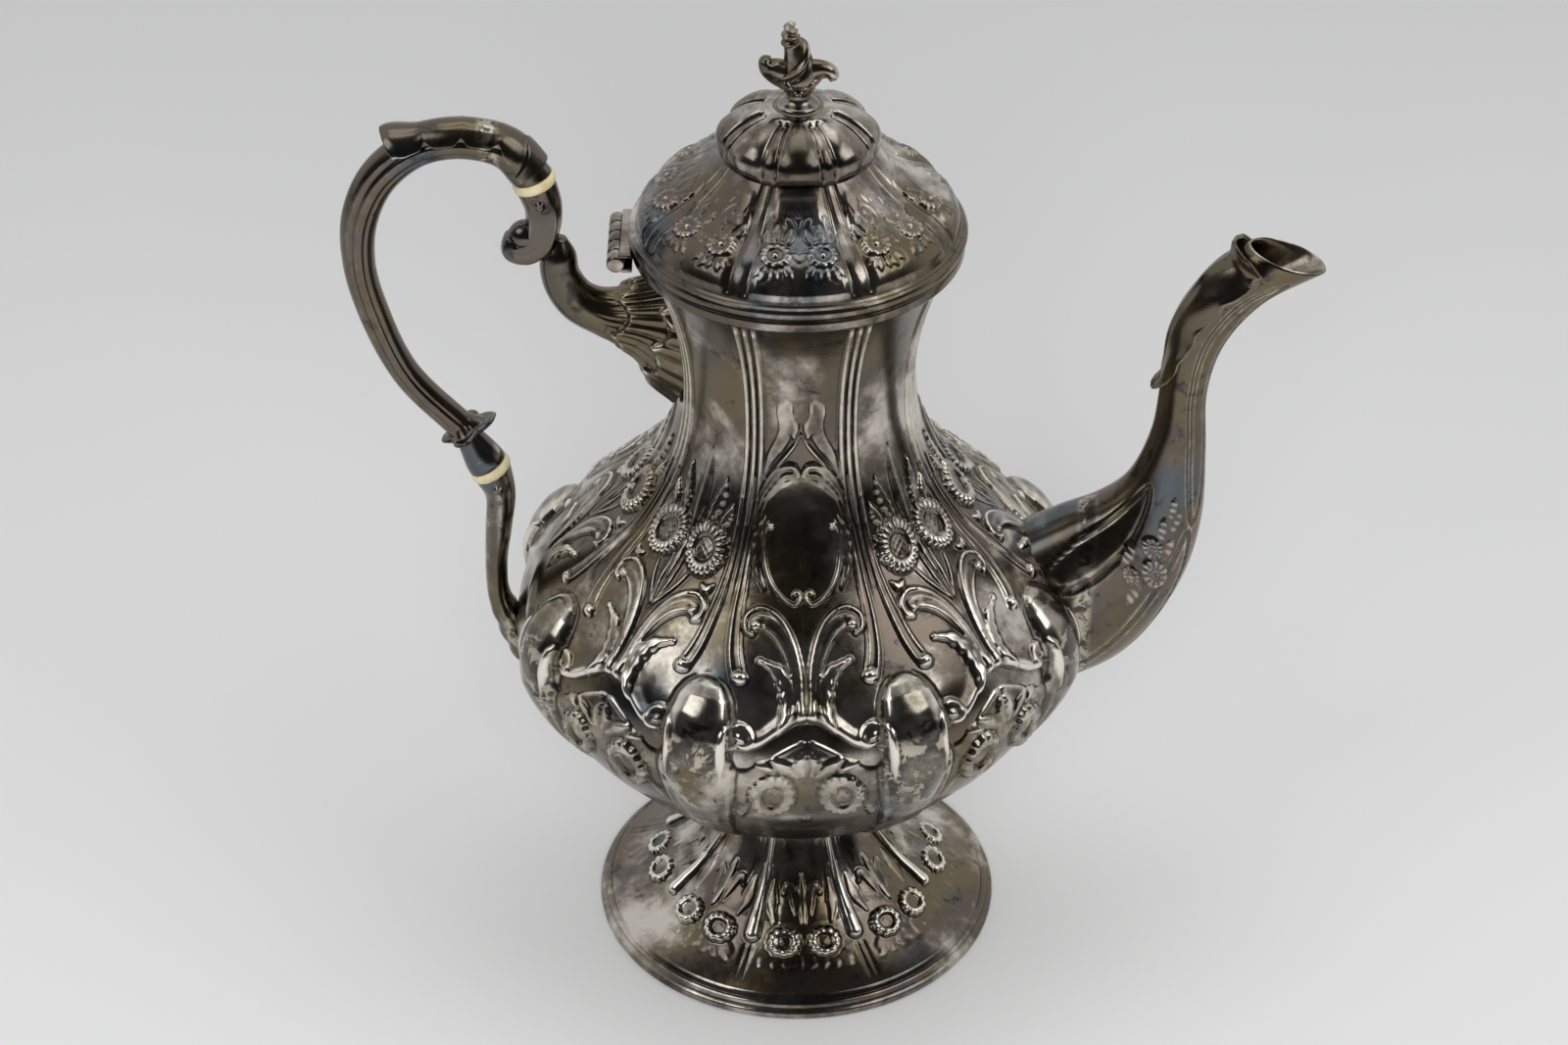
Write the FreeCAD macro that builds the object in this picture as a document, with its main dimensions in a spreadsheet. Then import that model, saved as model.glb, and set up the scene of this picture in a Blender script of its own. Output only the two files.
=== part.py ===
import FreeCAD, Part
import math
import os
import Sketcher

# A lobed silver coffee pot: a pear-shaped body on a domed foot, an S-shaped spout, a C-scroll
# handle held off by two insulator rings, and a hinged lid with a melon crown and a shell finial.
# Millimetres. The origin is the middle of the foot's resting face, +Z is up, +X is the spout.

Vector = FreeCAD.Vector
Rotation = FreeCAD.Rotation
Placement = FreeCAD.Placement

# Points that each oval section of a cast piece passes through.
OVAL_POINTS = 12
# Where the seam of a spun solid lies, away from the middle plane that cast pieces lie on.
SEAM_ANGLE = 60

SIZES = {
    # Fits
    "solder_gap": 0.1,
    "pin_clearance": 0.05,
    "lid_clearance": 0.4,
    "hinge_clearance": 0.3,
    # Foot
    "foot_radius": 55,
    "foot_rim_width": 5.8,
    "foot_rim_height": 5.5,
    "foot_band_height": 2.5,
    "foot_step_inset": 2,
    "foot_step_drop": 1,
    "apron_inset": 4,
    "apron_wall": 1.4,
    "stem_radius": 17,
    "foot_height": 43,
    # Body, each rise from the ring below
    "lobe_count": 8,
    "body_wall": 1.4,
    "belly_radius": 74.5,
    "belly_rise": 53,
    "belt_inset": 7.9,
    "belt_rise": 20,
    "waist_radius": 30.1,
    "waist_rise": 57,
    "neck_top_radius": 37.6,
    "neck_top_rise": 35.5,
    # Raised work: the turn of its lobes and the sunk shields between the bosses, from the belly
    "lobe_turn": 1.7,
    "shield_share": 0.7,
    "shield_depth": 0.8,
    "shield_edge": 1.6,
    "shield_base_drop": 26,
    # The spout's hole, from the belly
    "spout_hole_radius": 9,
    "spout_hole_rise": 1,
    # Neck rim and lid
    "neck_rim_overhang": 4,
    "neck_rim_width": 5.7,
    "neck_rim_height": 5,
    "lid_seat_gap": 0.15,
    "lid_overhang": 0.6,
    "lid_rim_height": 3.75,
    "lid_wall": 1.3,
    "dome_inset": 1.9,
    "dome_height": 19.6,
    "crown_seat_radius": 18.8,
    "crown_swell": 1.5,
    "crown_swell_rise": 3.3,
    "crown_height": 12.6,
    "crown_groove_radius": 0.9,
    "crown_groove_depth": 0.6,
    "bezel_wall": 1.2,
    "bezel_depth": 4.2,
    # Finial
    "finial_disc_radius": 5.4,
    "finial_disc_height": 0.9,
    "stud_radius": 1.5,
    "stud_length": 6.4,
    "washer_radius": 4.4,
    "washer_height": 1,
    "nut_across_flats": 6,
    "nut_height": 2.4,
    # Hinge, its pin from the outside and the top of the neck rim
    "hinge_reach": 3.4,
    "hinge_drop": 2.5,
    "knuckle_radius": 1.65,
    "hinge_pin_radius": 0.8,
    "hinge_length": 23,
    "knuckle_count": 5,
    "hinge_leaf_thickness": 1.5,
    # Insulators, the upper one from the waist and the lower one from the belly, and their rivets
    "ring_radius": 5.6,
    "ring_thickness": 2.7,
    "ring_rounding": 0.5,
    "spigot_radius": 2.6,
    "spigot_length": 6,
    "upper_ring_reach": 34.8,
    "upper_ring_rise": 55.4,
    "upper_ring_tilt": 18.6,
    "lower_ring_reach": 5.1,
    "lower_ring_rise": 47,
    "lower_ring_tilt": 27.2,
    "rivet_radius": 0.8,
    "rivet_head_radius": 1.4,
    "rivet_head_height": 0.6,
    "rivet_offset": 3.4,
    # Handle collar
    "collar_radius": 8.3,
    "collar_height": 12.6,
    "collar_waist_radius": 3.1,
    # Spout
    "spout_wall": 1.3,
}

# Points of the turned surfaces between two rings: the rings, the shares of the way from the one to
# the other across and up, and the lean of the outward normal above the horizontal.
POINT_FIELDS = ("share_across", "share_up", "lean")
TURNED_POINTS = {
    "apron_low": ("apron", "stem", 0.2206, 0.0907, 60),
    "apron_mid": ("apron", "stem", 0.5059, 0.2693, 48),
    "apron_high": ("apron", "stem", 0.8471, 0.5893, 42),
    "bowl_low": ("stem", "belly", 0.3304, 0.1321, -57),
    "bowl_flank": ("stem", "belly", 0.7304, 0.4811, -43),
    "bowl_high": ("stem", "belly", 0.9391, 0.7925, -24),
    "shoulder_low": ("belly", "belt", 0.2911, 0.55, 25),
    "shoulder_mid": ("belt", "waist", 0.2301, 0.1579, 43),
    "shoulder_high": ("belt", "waist", 0.5507, 0.3421, 43),
    "neck_low": ("belt", "waist", 0.8384, 0.5877, 27),
    "neck_high": ("waist", "neck_top", 0.2667, 0.5634, -12),
    "dome_low": ("dome_foot", "crown_seat", 0.0977, 0.2347, 30),
    "dome_mid": ("dome_foot", "crown_seat", 0.3023, 0.4235, 50),
    "dome_high": ("dome_foot", "crown_seat", 0.7116, 0.6888, 57),
    "crown_high": ("crown_widest", "crown_top", 0.0872, 0.4194, 25),
    "crown_cap": ("crown_widest", "crown_top", 0.4497, 0.8387, 65),
}

# Bosses on the lobes' edges: the height above the belly, half the width and the swell.
BOSS_FIELDS = ("up", "half_width", "swell")
BOSS_ROWS = [
    (-53, 2, 0.2),
    (-34, 4.6, 0.8),
    (-21, 5.6, 1.3),
    (-11, 6.4, 1.9),
    (-1, 7.6, 3),
    (8, 8.7, 4.1),
    (16, 8.6, 3.9),
    (20.5, 6.6, 2.6),
    (24.2, 2, 0.1),
]

# Raised lines on half a lobe: half the width and the rise, then points, each a share of the half
# lobe out from its middle and a height above the belly.
LINE_FIELDS = ("out", "up")
RAISED_LINES = {
    "lip": (2, 1.1, [(0, 18.6), (0.16, 17.6), (0.29, 15), (0.42, 12.2), (0.56, 11.2)]),
    "rib": (2, 0.9, [(0.7, 24.8), (0.81, 27.4), (0.9, 36), (0.93, 46), (0.89, 58)]),
    "scroll": (2.1, 1.4, [(0.02, 22), (0.04, 29), (0.16, 34.2), (0.36, 36.9), (0.56, 37.2),
                          (0.7, 35.6), (0.71, 33.6), (0.6, 33)]),
    "daisy": (6.6, 1.5, [(0.4, 45.4)]),
    "frame": (1.9, 1, [(0.02, 38.4), (0.32, 40), (0.64, 46.1), (0.72, 52.6), (0.56, 59.7), (0.02, 63.4)]),
    "plume": (1.8, 0.9, [(0.77, 64.6), (0.62, 70.6), (0.4, 76), (0.34, 80.6), (0.4, 84.4), (0.28, 87)]),
}

# The lines on each kind of lobe, whether it has a sunk shield, and the kinds in turn from the front.
LOBE_KINDS = {
    "cartouche": (("lip", "rib", "scroll", "frame", "plume"), True),
    "bouquet": (("lip", "rib", "scroll", "daisy"), True),
    "under_spout": (("rib", "daisy"), False),
    "under_handle": (("lip", "rib", "scroll", "daisy"), False),
}
LOBE_ORDER = ("cartouche", "bouquet", "under_spout", "bouquet",
              "cartouche", "bouquet", "under_handle", "bouquet")
# Columns of the raised skin on half a lobe, and the way between its rows.
SKIN_COLUMNS = 18
SKIN_STEP = 1.6
LINE_POINTS = 60

# Cast pieces: the middle's x and z from the belly's or the waist's outermost point on the spout's
# or the handle's side, or from the middle of the crown's top, half the depth in the pot's middle
# plane and half the width, and where a section isn't square to the line through the middles, the
# turn of its depth from +X.
SECTION_FIELDS = ("x", "z", "half_depth", "half_width", "turn")
CAST_SECTIONS = {
    "spout": [
        (-17, 1, 25, 16, -82),
        (4.1, 12, 23.6, 14.6, -66),
        (15, 24.2, 17.6, 12.2, -50),
        (21.1, 38.3, 11.6, 9.4, -29),
        (23.9, 56, 7.4, 7, -18),
        (24.4, 72.8, 5.9, 6, -10),
        (26.8, 87, 6.9, 6.2, -13),
        (35, 101.3, 8.6, 7, -17),
        (47.5, 110.7, 10.4, 7.6, -18),
    ],
    "spout_leaf": [
        (16.1, 75, 0.5, 0.8),
        (18.7, 84, 1.7, 3.6),
        (22.7, 96.5, 2.1, 5.2),
        (29.3, 107, 2, 4.6),
        (35.7, 115.2, 1, 1.8),
    ],
    "grip": [
        (-41.4, 64.3, 5, 4.9),
        (-50.9, 67, 4.9, 4.8),
        (-61.9, 65.4, 4.9, 4.7),
        (-72.3, 57.5, 4.9, 4.6),
        (-78.5, 44.5, 4.6, 4.5),
        (-79.4, 32, 4.1, 4.4),
        (-76.2, 16, 3.9, 4.3),
        (-69.7, -0.5, 3.6, 4.2),
    ],
    "handle_leaf": [
        (-36.2, 65.4, 1.2, 2.6),
        (-41.9, 69.2, 2.3, 4.9),
        (-50.9, 71.6, 2.6, 5.4),
        (-61.4, 71.4, 2, 4.6),
        (-69.3, 70.6, 0.8, 1.6),
    ],
    "bracket": [
        (4.1, 11, 21, 11),
        (-5.9, 13.3, 15, 9.4),
        (-14.9, 17.2, 8.4, 7),
        (-23.5, 22.2, 7, 5.4),
        (-29.3, 30.2, 5.8, 4.8),
        (-33.3, 37.5, 4.6, 4.4),
    ],
    "volute": [
        (-32.5, 48, 4.3, 4.7),
        (-32.9, 41.5, 3.5, 4.7),
        (-35.7, 36.6, 3.1, 4.8),
        (-39.9, 36.2, 2.9, 4.7),
        (-41.7, 39.8, 2.6, 4.2),
        (-39.3, 42.8, 1.7, 3),
    ],
    "tail": [
        (-2.9, 39, 4, 4),
        (-3.7, 29, 3.5, 3.8),
        (-4.9, 16, 2.9, 4),
        (-4.5, 6, 3, 4.6),
        (-1.7, -2, 3.8, 5),
        (1.9, -11, 4, 4.4),
        (7.9, -20.5, 3.6, 3),
        (14.1, -27.8, 2, 1.2),
    ],
    "finial_body": [
        (0, 3.9, 3, 3),
        (1, 7.6, 4.4, 4.2),
        (1.5, 11.4, 3.7, 3.6),
        (0.4, 15, 2.6, 2.6),
        (-1.6, 18.4, 1.9, 1.9),
        (-2.5, 21, 1.3, 1.3),
        (-2.7, 22.8, 0.5, 0.5),
    ],
    "finial_curl": [
        (2.6, 5, 2.3, 2.4),
        (5.6, 7, 2, 2.2),
        (8, 9.4, 1.4, 1.6),
    ],
}


def formula(value):
    """The sheet expression behind a number."""
    return value.text if isinstance(value, Size) else repr(float(value))


class Size(float):
    """A number from the sheet that keeps the expression it came from through sums and products."""

    def __new__(cls, value, text):
        size = super().__new__(cls, value)
        size.text = text
        return size

    def __add__(self, other):
        return Size(float(self) + float(other), f"({self.text} + {formula(other)})")

    def __radd__(self, other):
        return Size(float(other) + float(self), f"({formula(other)} + {self.text})")

    def __sub__(self, other):
        return Size(float(self) - float(other), f"({self.text} - {formula(other)})")

    def __rsub__(self, other):
        return Size(float(other) - float(self), f"({formula(other)} - {self.text})")

    def __mul__(self, other):
        return Size(float(self) * float(other), f"({self.text} * {formula(other)})")

    __rmul__ = __mul__

    def __truediv__(self, other):
        return Size(float(self) / float(other), f"({self.text} / {formula(other)})")

    def __rtruediv__(self, other):
        return Size(float(other) / float(self), f"({formula(other)} / {self.text})")

    def __neg__(self):
        return Size(-float(self), f"(-{self.text})")


def cosine(angle):
    return Size(math.cos(math.radians(angle)), f"cos({formula(angle)})")


def sine(angle):
    return Size(math.sin(math.radians(angle)), f"sin({formula(angle)})")


doc = FreeCAD.newDocument("coffee_pot")
sheet = doc.addObject("Spreadsheet::Sheet", "Dims")


def named_sizes():
    """Every driving dimension by its name: the plain sizes, then the points and sections."""
    sizes = dict(SIZES)
    for name, (_, _, *values) in TURNED_POINTS.items():
        sizes.update((f"{name}_{field}", value) for field, value in zip(POINT_FIELDS, values))
    tables = [(name, SECTION_FIELDS, rows) for name, rows in CAST_SECTIONS.items()]
    tables.append(("boss", BOSS_FIELDS, BOSS_ROWS))
    for name, (half_width, rise, points) in RAISED_LINES.items():
        sizes.update({f"{name}_half_width": half_width, f"{name}_rise": rise})
        tables.append((name, LINE_FIELDS, points))
    for name, fields, rows in tables:
        for number, values in enumerate(rows, start=1):
            sizes.update((f"{name}_{number}_{field}", value) for field, value in zip(fields, values))
    return sizes


for row, (alias, value) in enumerate(named_sizes().items(), start=1):
    sheet.set(f"A{row}", alias)
    sheet.set(f"B{row}", str(value))
    sheet.setAlias(f"B{row}", alias)
doc.recompute()


def dim(alias):
    """A driving dimension read back from the sheet."""
    return Size(sheet.get(alias), f"Dims.{alias}")


def bind(item, **properties):
    """Ties properties to sheet expressions; a double underscore stands for a dot."""
    for name, value in properties.items():
        item.setExpression(name.replace("__", "."), formula(value))


def rings_of_pot():
    """The rings where turned surfaces meet, or are widest or narrowest: their radii and heights."""
    belly_z = dim("foot_height") + dim("belly_rise")
    belt_z = belly_z + dim("belt_rise")
    waist_z = belt_z + dim("waist_rise")
    neck_z = waist_z + dim("neck_top_rise")
    rim_z = neck_z + dim("neck_rim_height")
    lid_z = rim_z + dim("lid_seat_gap")
    dome_z = lid_z + dim("lid_rim_height")
    crown_z = dome_z + dim("dome_height")
    rim_radius = dim("neck_top_radius") + dim("neck_rim_overhang")
    lid_radius = rim_radius + dim("lid_overhang")
    crown_radius = dim("crown_seat_radius")
    return {
        "apron": (dim("foot_radius") - dim("apron_inset"), dim("foot_rim_height")),
        "stem": (dim("stem_radius"), dim("foot_height")),
        "belly": (dim("belly_radius"), belly_z),
        "belt": (dim("belly_radius") - dim("belt_inset"), belt_z),
        "waist": (dim("waist_radius"), waist_z),
        "neck_top": (dim("neck_top_radius"), neck_z),
        "neck_rim": (rim_radius, rim_z),
        "lid_rim": (lid_radius, lid_z),
        "dome_foot": (lid_radius - dim("dome_inset"), dome_z),
        "crown_seat": (crown_radius, crown_z),
        "crown_widest": (crown_radius + dim("crown_swell"), crown_z + dim("crown_swell_rise")),
        "crown_top": (dim("finial_disc_radius"), crown_z + dim("crown_height")),
    }


RINGS = rings_of_pot()
NECK_BORE = RINGS["neck_rim"][0] - dim("neck_rim_width")
HINGE_X = -(RINGS["neck_rim"][0] + dim("hinge_reach"))
HINGE_Z = RINGS["neck_rim"][1] - dim("hinge_drop")
HANDLE_SIDE_WAIST = (-RINGS["waist"][0], RINGS["waist"][1])
HANDLE_SIDE_BELLY = (-RINGS["belly"][0], RINGS["belly"][1])
INSULATOR_MIDDLES = {
    "upper": (HANDLE_SIDE_WAIST[0] - dim("upper_ring_reach"),
              HANDLE_SIDE_WAIST[1] + dim("upper_ring_rise")),
    "lower": (HANDLE_SIDE_BELLY[0] - dim("lower_ring_reach"),
              HANDLE_SIDE_BELLY[1] + dim("lower_ring_rise")),
}
CAST_ANCHORS = {
    "spout": RINGS["belly"],
    "spout_leaf": RINGS["belly"],
    "grip": HANDLE_SIDE_WAIST,
    "handle_leaf": HANDLE_SIDE_WAIST,
    "bracket": HANDLE_SIDE_WAIST,
    "volute": HANDLE_SIDE_WAIST,
    "tail": HANDLE_SIDE_BELLY,
    "finial_body": (0, RINGS["crown_top"][1]),
    "finial_curl": (0, RINGS["crown_top"][1]),
}


def surface(name, inset=0):
    """A point of a turned surface, moved in from it by inset along its normal."""
    if name in RINGS:
        radius, height = RINGS[name]
        return radius - inset, height
    start, end = (RINGS[ring] for ring in TURNED_POINTS[name][:2])
    lean = dim(f"{name}_lean")
    radius = start[0] + (end[0] - start[0]) * dim(f"{name}_share_across") - cosine(lean) * inset
    height = start[1] + (end[1] - start[1]) * dim(f"{name}_share_up") - sine(lean) * inset
    return radius, height


def new_body(label):
    body = doc.addObject("PartDesign::Body", label)
    body.Label = label
    return body


def new_sketch(body, name, role):
    sketch = body.newObject("Sketcher::SketchObject", name)
    plane = next(item for item in body.Origin.OriginFeatures if item.Role == role)
    sketch.AttachmentSupport = [(plane, "")]
    sketch.MapMode = "FlatFace"
    return sketch


def pin_point(sketch, geometry, end, x, y):
    """Holds a point of the sketch at x and y, through the sheet where they come from it."""
    for kind, axis, value in (("DistanceX", -2, x), ("DistanceY", -1, y)):
        if value == 0:
            sketch.addConstraint(Sketcher.Constraint("PointOnObject", geometry, end, axis))
            continue
        ends = (-1, 1, geometry, end) if value > 0 else (geometry, end, -1, 1)
        length = value if value > 0 else -value
        index = sketch.addConstraint(Sketcher.Constraint(kind, *ends, float(length)))
        if isinstance(length, Size):
            sketch.setExpression(f"Constraints[{index}]", length.text)


def flat(x, y):
    return Vector(float(x), float(y), 0)


def draw_circle(sketch, x, y, radius):
    circle = sketch.addGeometry(Part.Circle(flat(x, y), Vector(0, 0, 1), float(radius)))
    size = sketch.addConstraint(Sketcher.Constraint("Radius", circle, float(radius)))
    sketch.setExpression(f"Constraints[{size}]", radius.text)
    pin_point(sketch, circle, 3, x, y)


def draw(sketch, corners, closed=True):
    """An outline. A corner (x, y) starts a line, (x, y, through_x, through_y) an arc."""
    edges = []
    for corner, following in zip(corners, corners[1:] + (corners[:1] if closed else [])):
        start, end = flat(*corner[:2]), flat(*following[:2])
        if len(corner) == 2:
            edge = sketch.addGeometry(Part.LineSegment(start, end))
        else:
            edge = sketch.addGeometry(Part.Arc(start, flat(*corner[2:]), end))
            middle = sketch.addGeometry(Part.Point(flat(*corner[2:])), True)
            sketch.addConstraint(Sketcher.Constraint("PointOnObject", middle, 1, edge))
            pin_point(sketch, middle, 1, *corner[2:])
        forward = (sketch.getPoint(edge, 1) - start).Length < 1e-6
        edges.append((edge, (1, 2) if forward else (2, 1)))
    for (edge, ends), corner in zip(edges, corners):
        pin_point(sketch, edge, ends[0], *corner[:2])
    for (edge, ends), (after, after_ends) in zip(edges, edges[1:] + (edges[:1] if closed else [])):
        joined = Sketcher.Constraint("Coincident", edge, ends[1], after, after_ends[0])
        sketch.addConstraint(joined)
    if not closed:
        pin_point(sketch, edges[-1][0], edges[-1][1][1], *corners[-1][:2])


def turn(body, sketch, name, axis="V_Axis", cut=False):
    """Spins a sketch about one of its axes, as metal or as a hollow."""
    feature = body.newObject("PartDesign::Groove" if cut else "PartDesign::Revolution", name)
    feature.Profile = sketch
    feature.ReferenceAxis = (sketch, [axis])
    feature.Angle = 360
    return feature


def turned_piece(label, corners):
    """A piece of one outline spun about the upright axis."""
    body = new_body(label)
    sketch = new_sketch(body, f"{label}_outline", "XZ_Plane")
    draw(sketch, corners)
    turn(body, sketch, f"{label}_turning")
    return body


def ring_of(body, feature, sketch, name):
    """Repeats a feature once for each lobe round the upright axis."""
    pattern = body.newObject("PartDesign::PolarPattern", name)
    pattern.Originals = [feature]
    pattern.Axis = (sketch, ["V_Axis"])
    pattern.Angle = 360
    bind(pattern, Occurrences=dim("lobe_count"))
    body.Tip = pattern
    return pattern


def solid_piece(label, shape):
    """A cast piece whose form is worked out here from the sheet."""
    piece = doc.addObject("Part::Feature", label)
    piece.Label = label
    piece.Shape = shape
    return piece


def wire_of(corners, closed=True):
    """The outline that draw makes, as a wire in the XZ plane."""
    edges = []
    for corner, following in zip(corners, corners[1:] + (corners[:1] if closed else [])):
        points = [corner[:2], corner[2:], following[:2]]
        points = [Vector(float(x), 0, float(z)) for x, z in filter(None, points)]
        edges.append(Part.Arc(*points).toShape() if len(points) == 3
                     else Part.LineSegment(*points).toShape())
    return Part.Wire(edges)


def spun(corners):
    """The outline that draw makes, spun about the upright axis with its seam out of the middle plane."""
    face = Part.Face(wire_of(corners))
    face.rotate(Vector(), Vector(0, 0, 1), SEAM_ANGLE)
    return face.revolve(Vector(), Vector(0, 0, 1), 360)


def oval(x, z, half_depth, half_width, turn_angle):
    """A closed curve across the middle plane, its depth turned up from +X by turn_angle."""
    along = Vector(math.cos(turn_angle), 0, math.sin(turn_angle)) * half_depth
    across = Vector(0, half_width, 0)
    turns = [2 * math.pi * (step + 0.5) / OVAL_POINTS for step in range(OVAL_POINTS)]
    return closed_curve(
        [Vector(x, 0, z) + along * math.cos(turn) + across * math.sin(turn) for turn in turns])


def sections_of(name):
    """The named sections of a cast piece as plain numbers in the pot's frame."""
    rows = [[float(dim(f"{name}_{number}_{field}")) for field, _ in zip(SECTION_FIELDS, values)]
            for number, values in enumerate(CAST_SECTIONS[name], start=1)]
    anchor_x, anchor_z = CAST_ANCHORS[name]
    return [[float(anchor_x + x), float(anchor_z + z), *rest] for x, z, *rest in rows]


def closed_curve(points):
    curve = Part.BSplineCurve()
    curve.interpolate(Points=points, PeriodicFlag=True, Parameters=list(range(len(points) + 1)))
    return curve


def skin_over(curves, distances):
    """A smooth face through closed curves at given distances along it."""
    lines = []
    for poles in zip(*(curve.getPoles() for curve in curves)):
        line = Part.BSplineCurve()
        line.interpolate(Points=list(poles), Parameters=distances)
        lines.append(line)
    skin = Part.BSplineSurface()
    skin.buildFromPolesMultsKnots(
        [list(poles) for poles in zip(*(line.getPoles() for line in lines))],
        lines[0].getMultiplicities(), curves[0].getMultiplicities(),
        lines[0].getKnots(), curves[0].getKnots(),
        False, True, lines[0].Degree, curves[0].Degree)
    return skin.toShape()


def flat_face(curve):
    return Part.Face(Part.Wire([curve.toShape()]))


def closed_solid(faces):
    """A solid inside faces that meet at their edges."""
    shell = Part.makeShell(faces)
    shell.sewShape()
    solid = Part.makeSolid(Part.Shell(shell.Faces))
    if solid.Volume < 0:
        solid.reverse()
    return solid


def skinned(rows, grow=0):
    """A solid over ovals, each grown by grow and square to the line of middles or turned as told."""
    ovals, distances = [], []
    for index, (x, z, half_depth, half_width, *turn_angle) in enumerate(rows):
        before = rows[max(index - 1, 0)]
        after = rows[min(index + 1, len(rows) - 1)]
        square = math.degrees(math.atan2(after[1] - before[1], after[0] - before[0])) - 90
        angle = math.radians(turn_angle[0] if turn_angle else square)
        ovals.append(oval(x, z, half_depth + grow, half_width + grow, angle))
        step = math.hypot(x - before[0], z - before[1])
        distances.append(distances[-1] + step if distances else 0)
    return closed_solid([skin_over(ovals, distances), flat_face(ovals[0]), flat_face(ovals[-1])])


def foot_rim():
    """The moulded wire that the pot stands on."""
    outer, height = dim("foot_radius"), dim("foot_rim_height")
    bore = outer - dim("foot_rim_width")
    return turned_piece("foot_rim", [
        (bore, 0),
        (outer, 0),
        (outer, dim("foot_band_height")),
        (outer - dim("foot_step_inset"), height - dim("foot_step_drop")),
        RINGS["apron"],
        (bore, height),
    ])


def foot():
    """The hollow domed foot, from its rim up to the stem under the bowl."""
    wall = dim("apron_wall")
    low, mid, high = (surface(name) for name in ("apron_low", "apron_mid", "apron_high"))
    low_in, mid_in, high_in = (
        surface(name, wall) for name in ("apron_low", "apron_mid", "apron_high"))
    (apron, rim_z), (stem, seat_z) = RINGS["apron"], RINGS["stem"]
    return turned_piece("foot", [
        (apron, rim_z, *low),
        (*mid, *high),
        (stem, seat_z),
        (stem - wall, seat_z, *high_in),
        (*mid_in, *low_in),
        (apron - wall * 1.3, rim_z),
    ])


BOWL_ARCS = (("stem", "bowl_low", "bowl_flank"), ("bowl_flank", "bowl_high", "belly"),
             ("belly", "shoulder_low", "belt"))
NECK_ARCS = (("belt", "shoulder_mid", "shoulder_high"), ("shoulder_high", "neck_low", "waist"),
             ("waist", "neck_high", "neck_top"))


def interpolated(value, rows):
    """The further fields of rows at a value of their first field, held level beyond the ends."""
    value = min(max(value, rows[0][0]), rows[-1][0])
    low, high = next(pair for pair in zip(rows, rows[1:]) if value <= pair[1][0])
    share = (value - low[0]) / (high[0] - low[0])
    return [start + (end - start) * share for start, end in zip(low[1:], high[1:])]


def ease(share):
    """A smooth step from 0 to 1."""
    share = min(max(share, 0), 1)
    return share * share * (3 - 2 * share)


def outline_rows(arcs):
    """Close points up the body's outline: height, radius, way along it and the normal's level part."""
    rows, way = [], 0
    for names in arcs:
        points = [Vector(float(radius), 0, float(height)) for radius, height in map(surface, names)]
        arc = Part.Arc(*points)
        steps = round(arc.length() / SKIN_STEP)
        for step in range(steps + (names == arcs[-1])):
            at = arc.FirstParameter + (arc.LastParameter - arc.FirstParameter) * step / steps
            point = arc.value(at)
            rows.append((point.z, point.x, way + arc.length() * step / steps, abs(arc.tangent(at)[0].z)))
        way += arc.length()
    return rows


def raised_heights():
    """The height of the raised work on each kind of lobe, for each row and column of half a lobe."""
    rows = outline_rows(BOWL_ARCS + NECK_ARCS)
    belly_z, half_lobe = float(RINGS["belly"][1]), 180 / float(dim("lobe_count"))
    boss_rows = [[float(dim(f"boss_{number}_{field}")) for field in BOSS_FIELDS]
                 for number, _ in enumerate(BOSS_ROWS, start=1)]
    lines, lip = {}, []
    for name, (_, _, points) in RAISED_LINES.items():
        numbers = range(1, len(points) + 1)
        places = [(float(dim(f"{name}_{number}_out")), float(dim(f"{name}_{number}_up")))
                  for number in numbers]
        lip = places if name == "lip" else lip
        places = [Vector(math.radians(out * half_lobe), interpolated(belly_z + up, rows)[1], 0)
                  for out, up in places]
        if len(places) > 1:
            curve = Part.BSplineCurve()
            curve.interpolate(places)
            places = curve.discretize(LINE_POINTS)
        lines[name] = (float(dim(f"{name}_half_width")), float(dim(f"{name}_rise")), places)

    def height_at(kind, out, row):
        height, radius, way, _ = row
        up, azimuth = height - belly_z, math.radians(out * half_lobe)
        half_width, swell = interpolated(up, boss_rows)
        to_edge = (math.radians(half_lobe) - azimuth) * radius / half_width
        total = swell * math.sqrt(max(1 - to_edge**2, 0))
        names, has_shield = LOBE_KINDS[kind]
        if has_shield:
            inside = (dim("shield_share") - out) * math.radians(half_lobe) * radius
            room = (inside, interpolated(out, lip)[0] - up, up + dim("shield_base_drop"))
            total -= dim("shield_depth") * math.prod(ease(side / dim("shield_edge")) for side in room)
        for half, rise, places in (lines[name] for name in names):
            gap = min(math.hypot((place.x - azimuth) * radius, place.y - way) for place in places)
            total += rise * math.cos(math.pi / 2 * min(gap / half, 1))**2
        return float(total)

    columns = [column / SKIN_COLUMNS for column in range(SKIN_COLUMNS + 1)]
    return {kind: [[height_at(kind, out, row) for out in columns] for row in rows] for kind in LOBE_KINDS}


def raised_skin(arcs, heights):
    """The body's outside over some of its arcs, moved out level by the raised work, and its curves."""
    all_rows, curves, distances = outline_rows(BOWL_ARCS + NECK_ARCS), [], []
    low, high = surface(arcs[0][0])[1], surface(arcs[-1][-1])[1]
    lobe = 360 / float(dim("lobe_count"))
    for index, (height, radius, way, level) in enumerate(all_rows):
        if not low - 1e-6 < height < high + 1e-6:
            continue
        points = []
        for number, kind in enumerate(LOBE_ORDER):
            for column in range(-SKIN_COLUMNS, SKIN_COLUMNS):
                out = radius + heights[kind][index][abs(column)] / level
                angle = math.radians(dim("lobe_turn") + lobe * (number + column / SKIN_COLUMNS / 2))
                points.append(Vector(out * math.sin(angle), -out * math.cos(angle), height))
        curves.append(closed_curve(points))
        distances.append(way)
    return skin_over(curves, distances), curves


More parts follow.
